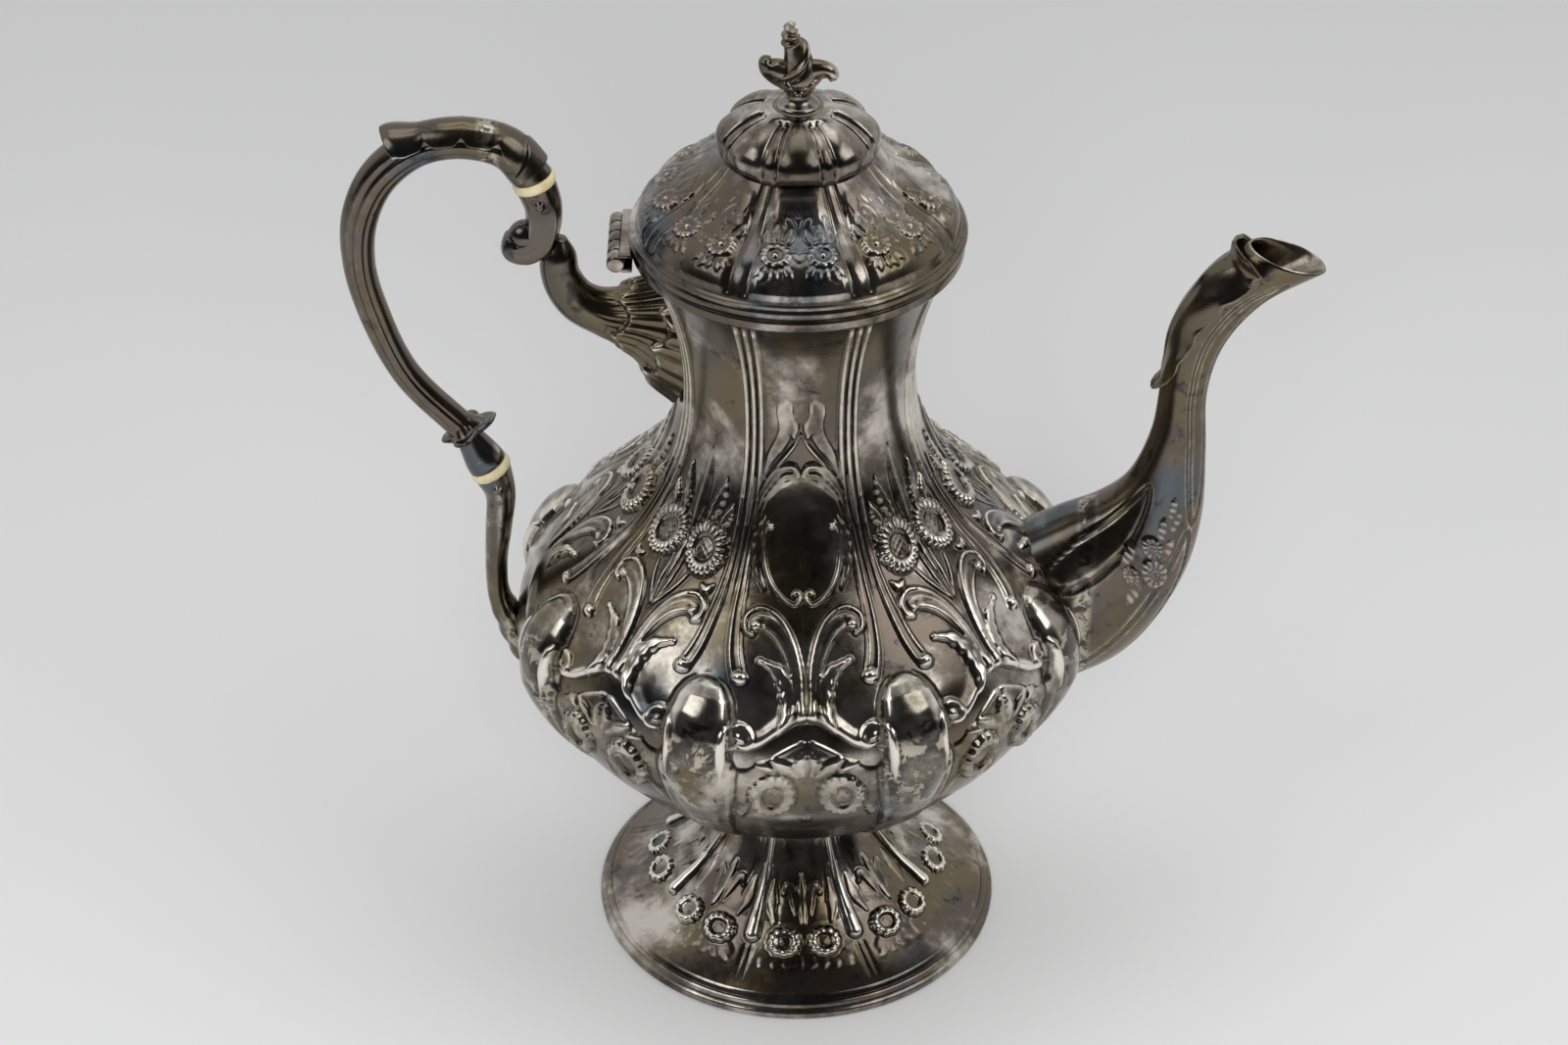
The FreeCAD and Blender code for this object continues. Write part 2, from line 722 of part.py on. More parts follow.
def hollowed(skin, base, rim, hollow):
    """A sheet piece between its outside and a turned hollow, whose line runs from the base's side."""
    inside = wire_of(hollow, closed=False).revolve(Vector(), Vector(0, 0, 1), 360)
    faces = [skin, *inside.Faces]
    for curve, (radius, height, *_) in ((base, hollow[0]), (rim, hollow[-1])):
        face = flat_face(curve)
        if radius > 0:
            edge = Part.makeCircle(float(radius), Vector(0, 0, float(height)))
            face = face.cut(Part.Face(Part.Wire([edge])))
        faces += face.Faces
    return closed_solid(faces)


def lower_bowl(heights):
    """The bowl up to the belt, with bosses on its lobes' edges, shields between and the spout's hole."""
    wall = dim("body_wall")
    (base_radius, seat_z), (belt_radius, belt_z) = RINGS["stem"], RINGS["belt"]
    skin, curves = raised_skin(BOWL_ARCS, heights)
    bowl = hollowed(skin, curves[0], curves[-1], [
        (0, seat_z + wall),
        (base_radius - wall * 0.3, seat_z + wall, *surface("bowl_low", wall)),
        (*surface("bowl_flank", wall), *surface("bowl_high", wall)),
        (*surface("belly", wall), *surface("shoulder_low", wall)),
        (belt_radius - wall, belt_z),
    ])
    hole_z = RINGS["belly"][1] + dim("spout_hole_rise")
    drill = Part.makeCylinder(float(dim("spout_hole_radius")), float(RINGS["belly"][0] * 2),
                              Vector(0, 0, float(hole_z)), Vector(1, 0, 0))
    return solid_piece("lower_bowl", bowl.cut(drill))


def upper_body(heights):
    """The shoulder and the waisted neck, from the belt up to the neck rim, with their raised work."""
    wall = dim("body_wall")
    (belt_radius, belt_z), (top_radius, top_z) = RINGS["belt"], RINGS["neck_top"]
    skin, curves = raised_skin(NECK_ARCS, heights)
    return solid_piece("upper_body", hollowed(skin, curves[0], curves[-1], [
        (belt_radius - wall, belt_z, *surface("shoulder_mid", wall)),
        (*surface("shoulder_high", wall), *surface("neck_low", wall)),
        (*surface("waist", wall), *surface("neck_high", wall)),
        (top_radius - wall, top_z),
    ]))


def neck_rim():
    """The moulding round the neck's mouth, which the lid rests on."""
    (foot_radius, low), (outer, high) = RINGS["neck_top"], RINGS["neck_rim"]
    cove = (foot_radius * 0.4 + outer * 0.6, low * 0.9 + high * 0.1)
    return turned_piece("neck_rim", [
        (NECK_BORE, low),
        (foot_radius, low, *cove),
        (outer, low * 0.7 + high * 0.3),
        (outer, high),
        (NECK_BORE, high),
    ])


def vessel_envelope():
    """The outside of the body, stood off by the solder gap, that cast pieces are fitted to."""
    gap = -dim("solder_gap")
    stem, (belt, belt_z), (top, top_z) = RINGS["stem"], RINGS["belt"], RINGS["neck_top"]
    return spun([
        (0, stem[1]),
        (*stem, *surface("bowl_low", gap)),
        (*surface("bowl_flank", gap), *surface("bowl_high", gap)),
        (*surface("belly", gap), *surface("shoulder_low", gap)),
        (belt - gap * 1.3, belt_z, *surface("shoulder_mid", gap)),
        (*surface("shoulder_high", gap), *surface("neck_low", gap)),
        (*surface("waist", gap), *surface("neck_high", gap)),
        (top - gap * 1.3, top_z),
        (0, top_z),
    ])


def lid_rim():
    """The wire round the lid's edge."""
    bore = NECK_BORE - dim("lid_clearance") + dim("solder_gap")
    (outer, low), (dome_radius, top) = RINGS["lid_rim"], RINGS["dome_foot"]
    return turned_piece("lid_rim", [
        (bore, low),
        (outer - (top - low) * 0.25, low, outer, low * 0.6 + top * 0.4),
        (dome_radius, top),
        (bore, top),
    ])


def lid_bezel():
    """The flange inside the lid that centres it in the neck."""
    outer = NECK_BORE - dim("lid_clearance")
    inner = outer - dim("bezel_wall")
    top, low = RINGS["dome_foot"][1], RINGS["neck_rim"][1] - dim("bezel_depth")
    return turned_piece("lid_bezel", [(inner, low), (outer, low), (outer, top), (inner, top)])


def lid_shell():
    """The lid's dome, from its rim up to the crown's seat."""
    wall = dim("lid_wall")
    (foot_radius, foot_z), (seat_radius, seat_z) = RINGS["dome_foot"], RINGS["crown_seat"]
    return turned_piece("lid_shell", [
        (foot_radius - wall, foot_z),
        (foot_radius, foot_z, *surface("dome_low")),
        (*surface("dome_mid"), *surface("dome_high")),
        (seat_radius, seat_z),
        (seat_radius - wall, seat_z, *surface("dome_high", wall)),
        (*surface("dome_mid", wall), *surface("dome_low", wall)),
    ])


def lid_crown():
    """The melon crown: a hollow cushion with a groove between each pair of lobes."""
    wall = dim("lid_wall")
    seat_radius, seat_z = RINGS["crown_seat"]
    widest, widest_z = RINGS["crown_widest"]
    disc_radius, top_z = RINGS["crown_top"]
    stud_bore = dim("stud_radius") + dim("pin_clearance") * 2
    body = turned_piece("lid_crown", [
        (seat_radius - wall, seat_z),
        (seat_radius, seat_z, widest, widest_z),
        (*surface("crown_high"), *surface("crown_cap")),
        (disc_radius, top_z),
        (stud_bore, top_z),
        (stud_bore, top_z - wall),
        (disc_radius, top_z - wall, *surface("crown_cap", wall)),
        (*surface("crown_high", wall), widest - wall, widest_z),
    ])
    depth = dim("crown_groove_depth")
    gouge = dim("crown_groove_radius")
    stand_off = depth - gouge
    half_lobe = 180 / dim("lobe_count")
    path = new_sketch(body, "crown_groove_path", "XZ_Plane")
    path.AttachmentOffset = Placement(Vector(), Rotation(Vector(0, 1, 0), float(half_lobe)))
    bind(path, AttachmentOffset__Rotation__Angle=half_lobe)
    start_radius = seat_radius - stand_off
    draw(path, [
        (start_radius, seat_z, widest - stand_off, widest_z),
        (*surface("crown_high", stand_off), *surface("crown_cap", stand_off)),
        (disc_radius, top_z - stand_off),
    ], closed=False)
    tool = new_sketch(body, "crown_groove_tool", "XY_Plane")
    tool.AttachmentOffset = Placement(Vector(0, 0, float(seat_z)), Rotation())
    bind(tool, AttachmentOffset__Base__z=seat_z)
    draw_circle(tool, start_radius * cosine(half_lobe), start_radius * sine(half_lobe), gouge)
    groove = body.newObject("PartDesign::SubtractivePipe", "crown_groove")
    groove.Profile = tool
    groove.Spine = path
    ring_of(body, groove, path, "crown_grooves")
    return body


def finial():
    """The cast shell finial: a disc, a stem, two curled leaves and a tapering leaning shell."""
    disc_radius, top_z = RINGS["crown_top"]
    disc_top = top_z + dim("finial_disc_height")
    neck_z = sections_of("finial_body")[0][1]
    base = spun([
        (0, top_z - dim("stud_length")),
        (dim("stud_radius"), top_z - dim("stud_length")),
        (dim("stud_radius"), top_z),
        (disc_radius, top_z),
        (disc_radius, disc_top, disc_radius * 0.45, (disc_top + neck_z) / 2),
        (disc_radius * 0.5, neck_z + dim("finial_disc_height")),
        (0, neck_z + dim("finial_disc_height")),
    ])
    body = skinned(sections_of("finial_body"))
    curl_rows = sections_of("finial_curl")
    curl = skinned(curl_rows)
    tip = curl_rows[-1]
    curl = curl.fuse(Part.makeSphere(tip[2] * 1.3, Vector(tip[0], 0, tip[1] - tip[2] * 0.7)))
    other = curl.copy()
    other.rotate(Vector(), Vector(0, 0, 1), 180)
    return solid_piece("finial", base.fuse([body, curl, other]).removeSplitter())


def finial_washer():
    washer_top = RINGS["crown_top"][1] - dim("lid_wall")
    bore = dim("stud_radius") + dim("pin_clearance") * 2
    low = washer_top - dim("washer_height")
    return turned_piece("finial_washer", [
        (bore, low),
        (dim("washer_radius"), low),
        (dim("washer_radius"), washer_top),
        (bore, washer_top),
    ])


def finial_nut():
    """The hexagon nut that draws the finial down on the crown."""
    nut_top = RINGS["crown_top"][1] - dim("lid_wall") - dim("washer_height")
    hexagon = doc.addObject("Part::Prism", "nut_hexagon")
    hexagon.Polygon = 6
    bind(hexagon, Circumradius=dim("nut_across_flats") / math.sqrt(3), Height=dim("nut_height"))
    bore = doc.addObject("Part::Cylinder", "nut_bore")
    bind(bore, Radius=dim("stud_radius") + dim("pin_clearance"), Height=dim("nut_height"))
    for item in (hexagon, bore):
        bind(item, Placement__Base__z=nut_top - dim("nut_height"))
    nut = doc.addObject("Part::Cut", "finial_nut")
    nut.Label = "finial_nut"
    nut.Base = hexagon
    nut.Tool = bore
    return nut


def cross_cylinder(radius, low_y, high_y):
    """A cylinder along Y on the hinge's axis."""
    base = Vector(float(HINGE_X), low_y, float(HINGE_Z))
    return Part.makeCylinder(float(radius), high_y - low_y, base, Vector(0, 1, 0))


def hinge_leaves():
    """The five-knuckle hinge: odd knuckles on the neck's leaf, even ones on the lid's."""
    length, count = float(dim("hinge_length")), int(dim("knuckle_count"))
    clearance = float(dim("hinge_clearance"))
    thickness = float(dim("hinge_leaf_thickness"))
    knuckle = float(dim("knuckle_radius"))
    hinge_x, hinge_z = float(HINGE_X), float(HINGE_Z)
    gap = float(dim("solder_gap"))
    pitch = length / count
    room = [cross_cylinder(knuckle + clearance, pitch * index - length / 2 - clearance / 2,
                           pitch * (index + 1) - length / 2 + clearance / 2)
            for index in range(count)]
    barrels = [cross_cylinder(knuckle, pitch * index - length / 2 + clearance / 2,
                              pitch * (index + 1) - length / 2 - clearance / 2)
               for index in range(count)]
    bore = cross_cylinder(dim("hinge_pin_radius") + dim("pin_clearance"), -length, length)
    depth = abs(hinge_x)

    def leaf(label, low_z, high_z, start_x, rim_radius, own):
        """A plate from the barrel to its rim, cleared round the other leaf's knuckles."""
        plate = Part.makeBox(depth, length - clearance, high_z - low_z,
                             Vector(start_x, (clearance - length) / 2, low_z))
        rim = Part.makeCylinder(rim_radius + gap, high_z, Vector())
        plate = plate.cut(rim)
        plate = min(plate.Solids, key=lambda solid: solid.CenterOfMass.x)
        others = [room[index] for index in range(count) if index % 2 != own]
        shape = plate.fuse([barrels[index] for index in range(count) if index % 2 == own])
        return solid_piece(label, shape.cut(others).cut(bore).removeSplitter())

    leaf("hinge_body_leaf", hinge_z - knuckle, hinge_z - knuckle + thickness, hinge_x,
         float(RINGS["neck_rim"][0]), 0)
    leaf("hinge_lid_leaf", hinge_z + clearance, float(RINGS["dome_foot"][1]) - thickness,
         hinge_x - knuckle / 2, float(RINGS["lid_rim"][0]), 1)


def hinge_pin():
    pin = doc.addObject("Part::Cylinder", "hinge_pin")
    pin.Label = "hinge_pin"
    bind(pin, Radius=dim("hinge_pin_radius"), Height=dim("hinge_length") - dim("hinge_clearance"))
    pin.Placement = Placement(Vector(), Rotation(Vector(1, 0, 0), 90))
    bind(pin, Placement__Base__x=HINGE_X, Placement__Base__z=HINGE_Z)
    bind(pin, Placement__Base__y=(dim("hinge_length") - dim("hinge_clearance")) / 2)
    return pin


def insulator(end):
    """A turned ring between two spigots drilled for rivets, leaning with the handle at that end."""
    half, length = dim("ring_thickness") / 2, dim("spigot_length")
    spigot, outer, rounding = dim("spigot_radius"), dim("ring_radius"), dim("ring_rounding")
    body = turned_piece(f"{end}_insulator", [
        (0, -(half + length)),
        (spigot, -(half + length)),
        (spigot, -half),
        (outer - rounding, -half, outer, 0),
        (outer - rounding, half),
        (spigot, half),
        (spigot, half + length),
        (0, half + length),
    ])
    holes = new_sketch(body, f"{end}_rivet_holes_outline", "XZ_Plane")
    for side in (1, -1):
        draw_circle(holes, 0, (half + dim("rivet_offset")) * side,
                    dim("rivet_radius") + dim("pin_clearance"))
    drilling = body.newObject("PartDesign::Pocket", f"{end}_rivet_holes")
    drilling.Profile = holes
    drilling.SideType = "Symmetric"
    bind(drilling, Length=spigot * 3)
    body.Tip = drilling
    body.Placement = Placement(Vector(), Rotation(Vector(0, -1, 0), 1))
    middle_x, middle_z = INSULATOR_MIDDLES[end]
    bind(body, Placement__Base__x=middle_x, Placement__Base__z=middle_z,
         Placement__Rotation__Angle=dim(f"{end}_ring_tilt"))
    return body


def ring_point(end, along):
    """The point at a distance along an insulator's axis, upwards from its middle."""
    tilt = math.radians(dim(f"{end}_ring_tilt"))
    middle_x, middle_z = INSULATOR_MIDDLES[end]
    middle = Vector(float(middle_x), 0, float(middle_z))
    return middle + Vector(-math.sin(tilt), 0, math.cos(tilt)) * float(along)


def ring_section(end, side, radius, turn_angle=0, beyond=0):
    """A round section square to an insulator's axis, at or beyond its upper (1) or lower (-1) face."""
    point = ring_point(end, (dim("ring_thickness") / 2 + beyond) * side)
    turn_angle += float(dim(f"{end}_ring_tilt"))
    return [point.x, point.z, float(radius), float(radius), turn_angle]


def socketed(shape, end, side):
    """Cuts the spigot's bore and the rivet's hole into a cast piece beside an insulator."""
    start = ring_point(end, dim("ring_thickness") / 2 * side)
    direction = (ring_point(end, side) - ring_point(end, 0)).normalize()
    bore = Part.makeCylinder(float(dim("spigot_radius") + dim("pin_clearance")),
                             float(dim("spigot_length") + dim("hinge_clearance")), start, direction)
    return shape.cut([bore, rivet_hole(end, side)])


def rivet_hole(end, side, clearance=1):
    """The line of a rivet through a spigot, as a long cylinder across the pot."""
    along = (dim("ring_thickness") / 2 + dim("rivet_offset")) * side
    reach = float(dim("ring_radius")) * 2
    base = ring_point(end, along) - Vector(0, reach, 0)
    radius = dim("rivet_radius") + dim("pin_clearance") * clearance
    return Part.makeCylinder(float(radius), reach * 2, base, Vector(0, 1, 0))


def rivets(end, pieces):
    """The two rivets through an insulator's spigots, with low domed heads."""
    solids = []
    head_radius = float(dim("rivet_head_radius"))
    for side, cast in pieces.items():
        metal = cast.common(rivet_hole(end, side, 4)).optimalBoundingBox()
        seat = metal.YMax + float(dim("solder_gap"))
        middle = ring_point(end, (dim("ring_thickness") / 2 + dim("rivet_offset")) * side)
        rivet = Part.makeCylinder(float(dim("rivet_radius")), seat * 2,
                                  middle - Vector(0, seat, 0), Vector(0, 1, 0))
        for way in (1, -1):
            head = Part.makeCone(head_radius, float(dim("rivet_radius")),
                                 float(dim("rivet_head_height")),
                                 middle + Vector(0, seat * way, 0), Vector(0, way, 0))
            rivet = rivet.fuse(head)
        solids.append(rivet.removeSplitter())
    return solid_piece(f"{end}_insulator_rivets", Part.Compound(solids))


def handle(envelope):
    """The handle's cast pieces from the neck's bracket to the tail on the bowl, and their rivets."""
    cup = float(dim("ring_radius") - dim("ring_rounding"))

    # The bracket springs from the neck and meets a scroll that hangs from the upper insulator.
    bracket = skinned(sections_of("bracket"))
    volute_rows = sections_of("volute")
    scroll = skinned([ring_section("upper", -1, cup, 180)] + volute_rows)
    tip_x, tip_z, tip_radius = volute_rows[-1][:3]
    tip = Part.makeSphere(tip_radius * 1.5, Vector(tip_x, 0, tip_z))
    bracket = bracket.fuse([scroll, tip]).cut(envelope)
    upper_socket = socketed(max(bracket.Solids, key=lambda solid: solid.Volume), "upper", -1)

    # The grip runs from the upper insulator over the arch and down to a flared collar.
    collar_height, waist = float(dim("collar_height")), float(dim("collar_waist_radius"))
    flare = float(dim("collar_radius"))
    rows = [ring_section("upper", 1, cup)] + sections_of("grip")
    rows.append(ring_section("lower", 1, waist * 1.25, 180, dim("collar_height")))
    grip = skinned(rows)
    baluster = spun([
        (0, 0),
        (cup, 0, waist * 1.1, collar_height * 0.42),
        (waist, collar_height * 0.72, waist * 1.5, collar_height * 0.84),
        (flare, collar_height * 0.92),
        (flare, collar_height),
        (waist, collar_height * 1.12),
        (0, collar_height * 1.12),
    ])
    seat = ring_point("lower", dim("ring_thickness") / 2)
    tilt = Rotation(Vector(0, -1, 0), float(dim("lower_ring_tilt")))
    baluster.Placement = Placement(seat, tilt)
    grip = socketed(socketed(grip.fuse(baluster), "upper", 1), "lower", 1)

    # The leaf lies on top of the arch and flicks up at its tip.
    leaf = skinned(sections_of("handle_leaf")).cut(skinned(rows, float(dim("solder_gap"))))
    leaf = max(leaf.Solids, key=lambda solid: solid.BoundBox.ZMax)

    # The tail drops from the lower insulator and lies along the bowl.
    tail = skinned([ring_section("lower", -1, cup, 180)] + sections_of("tail")).cut(envelope)
    lower_socket = socketed(max(tail.Solids, key=lambda solid: solid.Volume), "lower", -1)

    solid_piece("upper_socket", upper_socket.removeSplitter())
    solid_piece("handle_grip", grip.removeSplitter())
    solid_piece("handle_leaf", leaf)
    solid_piece("lower_socket", lower_socket.removeSplitter())
    rivets("upper", {1: grip, -1: upper_socket})
    rivets("lower", {1: grip, -1: lower_socket})


def extended(rows, reach):
    """The same sections with the first and last moved out along the line of middles."""
    longer = [list(row) for row in rows]
    for end, beside in ((0, 1), (-1, -2)):
        run = Vector(rows[end][0] - rows[beside][0], 0, rows[end][1] - rows[beside][1]).normalize()
        longer[end][0] += run.x * reach
        longer[end][1] += run.z * reach
    return longer


def spout(envelope):
    """The hollow spout and the leaf along its upper side."""
    rows = sections_of("spout")
    wall = float(dim("spout_wall"))
    bore = skinned(extended(rows, wall * 2), -wall)
    shape = skinned(rows).cut(bore).cut(envelope)
    solid_piece("spout", max(shape.Solids, key=lambda solid: solid.Volume))
    leaf = skinned(sections_of("spout_leaf")).cut(skinned(rows, float(dim("solder_gap"))))
    solid_piece("spout_leaf", max(leaf.Solids, key=lambda solid: solid.Volume))


def check_and_write(names):
    """Stops on any failed feature or bad solid, then writes one file for each piece."""
    doc.recompute()
    for item in doc.Objects:
        if {"Invalid", "Error"} & set(item.State):
            raise RuntimeError(f"{item.Label} failed: {item.State}")
    shapes = {}
    for name in names:
        shape = doc.getObjectsByLabel(name)[0].Shape
        if shape.isNull() or not shape.isValid() or not shape.Solids:
            raise RuntimeError(f"{name} has no sound solid")
        shapes[name] = shape
    os.makedirs("parts", exist_ok=True)
    for name, shape in shapes.items():
        print(name, len(shape.Solids), round(shape.Volume))
        shape.exportStep(f"parts/{name}.step")


foot_rim()
foot()
raised = raised_heights()
lower_bowl(raised)
upper_body(raised)
neck_rim()
lid_rim()
lid_bezel()
lid_shell()
lid_crown()
finial()
finial_washer()
finial_nut()
hinge_leaves()
hinge_pin()
insulator("upper")
insulator("lower")
pot_outside = vessel_envelope()
handle(pot_outside)
spout(pot_outside)

check_and_write([
    "foot_rim", "foot", "lower_bowl", "upper_body", "neck_rim",
    "lid_rim", "lid_bezel", "lid_shell", "lid_crown",
    "finial", "finial_washer", "finial_nut",
    "hinge_body_leaf", "hinge_lid_leaf", "hinge_pin",
    "upper_socket", "upper_insulator", "upper_insulator_rivets",
    "handle_grip", "handle_leaf",
    "lower_insulator", "lower_insulator_rivets", "lower_socket",
    "spout", "spout_leaf",
])
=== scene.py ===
import math

import bpy
import numpy as np
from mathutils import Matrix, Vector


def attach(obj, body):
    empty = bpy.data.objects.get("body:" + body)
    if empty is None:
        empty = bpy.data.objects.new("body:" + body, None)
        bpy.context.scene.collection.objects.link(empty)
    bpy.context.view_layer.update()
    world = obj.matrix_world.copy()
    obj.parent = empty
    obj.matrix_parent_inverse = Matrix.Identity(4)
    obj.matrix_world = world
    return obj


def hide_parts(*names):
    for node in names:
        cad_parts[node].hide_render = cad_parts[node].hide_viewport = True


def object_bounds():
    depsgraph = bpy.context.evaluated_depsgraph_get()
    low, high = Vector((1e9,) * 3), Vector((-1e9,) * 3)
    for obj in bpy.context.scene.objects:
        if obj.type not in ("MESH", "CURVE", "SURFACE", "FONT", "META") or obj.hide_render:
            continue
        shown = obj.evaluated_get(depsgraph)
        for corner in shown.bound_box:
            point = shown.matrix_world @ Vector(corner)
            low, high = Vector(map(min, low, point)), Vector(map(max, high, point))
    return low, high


# A tarnished silver coffee pot with chased and raised ornament. Shapes are worked out in millimetres
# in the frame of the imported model: +Z up, +X the spout, -Y the side with the cartouche.

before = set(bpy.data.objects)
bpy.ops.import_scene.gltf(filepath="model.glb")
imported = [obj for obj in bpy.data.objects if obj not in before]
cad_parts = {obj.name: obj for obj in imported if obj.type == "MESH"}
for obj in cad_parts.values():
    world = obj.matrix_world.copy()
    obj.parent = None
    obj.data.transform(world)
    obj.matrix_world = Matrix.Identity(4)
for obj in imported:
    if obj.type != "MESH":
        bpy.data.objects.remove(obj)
CAD_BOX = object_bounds()
MM = 0.001


# Lines and surfaces

def arcs(points, step):
    """Points every step or so along arcs through (start, middle, end, middle, end, ...): each arc
    keeps the radius of the circle through its three points and turns evenly about its centre."""
    points = np.array(points, float)
    runs = []
    for a, b, c in zip(points[:-2:2], points[1:-1:2], points[2::2]):
        u, v = b - a, c - a
        cross = 2 * (u[0] * v[1] - u[1] * v[0])
        centre = a + np.array([v[1] * (u @ u) - u[1] * (v @ v), u[0] * (v @ v) - v[0] * (u @ u)]) / cross
        turn = [math.atan2(*(p - centre)[::-1]) for p in (a, b, c)]
        sweep = [(angle - turn[0]) % (2 * math.pi) for angle in turn]
        total = sweep[2] if sweep[1] < sweep[2] else sweep[2] - 2 * math.pi
        radius = np.hypot(*(a - centre))
        angles = turn[0] + np.linspace(0, total, max(3, int(abs(total) * radius / step)))
        runs.append(centre + radius * np.stack([np.cos(angles), np.sin(angles)], -1))
    return np.concatenate([runs[0]] + [run[1:] for run in runs[1:]])


def lengths(points):
    """The distance travelled along a line of points, from 0 at the first."""
    return np.concatenate([[0], np.cumsum(np.linalg.norm(np.diff(points, axis=0), axis=1))])


def smooth_line(points, spots):
    """A cubic through points, at spots from 0 to 1: over the chord length each coordinate is a Hermite
    curve whose slope at a point is the difference of its neighbours."""
    points = np.array(points, float)
    knots = lengths(points[:, :2])
    slopes = np.gradient(points, knots, axis=0)
    where = spots * knots[-1]
    index = np.clip(np.searchsorted(knots, where, side="right") - 1, 0, len(knots) - 2)
    span = (knots[index + 1] - knots[index])[:, None]
    t = ((where - knots[index]) / span[:, 0])[:, None]
    return ((2 * t**3 - 3 * t**2 + 1) * points[index] + (t**3 - 2 * t**2 + t) * span * slopes[index]
            + (3 * t**2 - 2 * t**3) * points[index + 1] + (t**3 - t**2) * span * slopes[index + 1])


def ease(low, high, value):
    """0 below low, 1 above high, and a smooth step between."""
    share = np.clip((value - low) / (high - low), 0, 1)
    return share * share * (3 - 2 * share)


def bump(value, middle, width):
    """A bell curve about a middle."""
    return np.exp(-((value - middle) / width)**2)


def arch(share, power=2):
    """A rounded arch: the root of 1 less a power of the share, and 0 beyond a share of 1."""
    return np.sqrt(np.clip(1 - share**power, 0, 1))


def blurred(values, times):
    """Repeated averages of each grid value with its four neighbours, closed round the columns."""
    for _ in range(times):
        rows = np.concatenate([values[:1], values, values[-1:]])
        values = (values * 2 + rows[:-2] + rows[2:] + np.roll(values, 1, 1) + np.roll(values, -1, 1)) / 6
    return values


def around(columns):
    """A row of even turns round a full circle."""
    return np.arange(columns)[None, :] * (2 * math.pi / columns)


def grid(*coordinates):
    """Points from their x, y and z, each spread over the whole grid."""
    return np.stack(np.broadcast_arrays(*coordinates), -1)


def rings(radius, turn, height):
    """Points at a radius and height about the upright axis, turned from the front to the spout."""
    return grid(radius * np.sin(turn), -radius * np.cos(turn), height)


def grid_normals(points):
    """Unit normals of a grid closed round its columns: the cross product of the steps along the
    columns and along the rows."""
    across = np.roll(points, -1, 1) - np.roll(points, 1, 1)
    normal = np.cross(across, np.gradient(points, axis=0))
    return normal / np.maximum(np.linalg.norm(normal, axis=-1, keepdims=True), 1e-9)


class Turned:
    """A turned surface: radius and height by the length along its profile, with the normal."""

    def __init__(self, profile):
        line = arcs(profile, 0.1)
        self.s = lengths(line)
        self.r, self.z = line.T
        self.nr, self.nz = np.gradient(self.z, self.s), -np.gradient(self.r, self.s)

    def length_at(self, height):
        """The length along the profile at a height."""
        return np.interp(height, self.z, self.s)

    def points(self, azimuth, s, lift):
        """Points at an azimuth from the front towards the spout, lifted along the normal."""
        r = np.interp(s, self.s, self.r) + lift * np.interp(s, self.s, self.nr)
        z = np.interp(s, self.s, self.z) + lift * np.interp(s, self.s, self.nz)
        return rings(r, np.radians(azimuth), z)


# Profiles as arcs through (radius, height) points, and sizes that pieces share.
BODY = Turned([(17, 43), (36, 50), (59, 68.5), (71, 85), (74.5, 96), (72.2, 107), (66.6, 116), (58.2, 125),
    (46.5, 135.5), (36, 149.5), (30.1, 173), (32.1, 193), (37.6, 208.5)])
FOOT = Turned([(51, 5.5), (43.5, 8.9), (33.8, 15.6), (22.2, 27.6), (17, 43)])
DOME = Turned([(40.3, 217.4), (38.2, 222), (33.8, 225.7), (25, 230.9), (18.8, 237)])
CROWN = Turned([(18.8, 237), (20.3, 240.3), (19, 244.2), (13.6, 248.1), (5.4, 249.6), (3.6, 249.75),
    (1.7, 249.8)])
LOBES = 8
HALF_LOBE = 180 / LOBES
BODY_WALL = 1.4
FRONT_LIMIT = 73.25
FRONT_EASE = 0.35
LID_WALL = 1.3
INSIDE_WEAR = 0.42
BOTH_ENDS = (True, True)


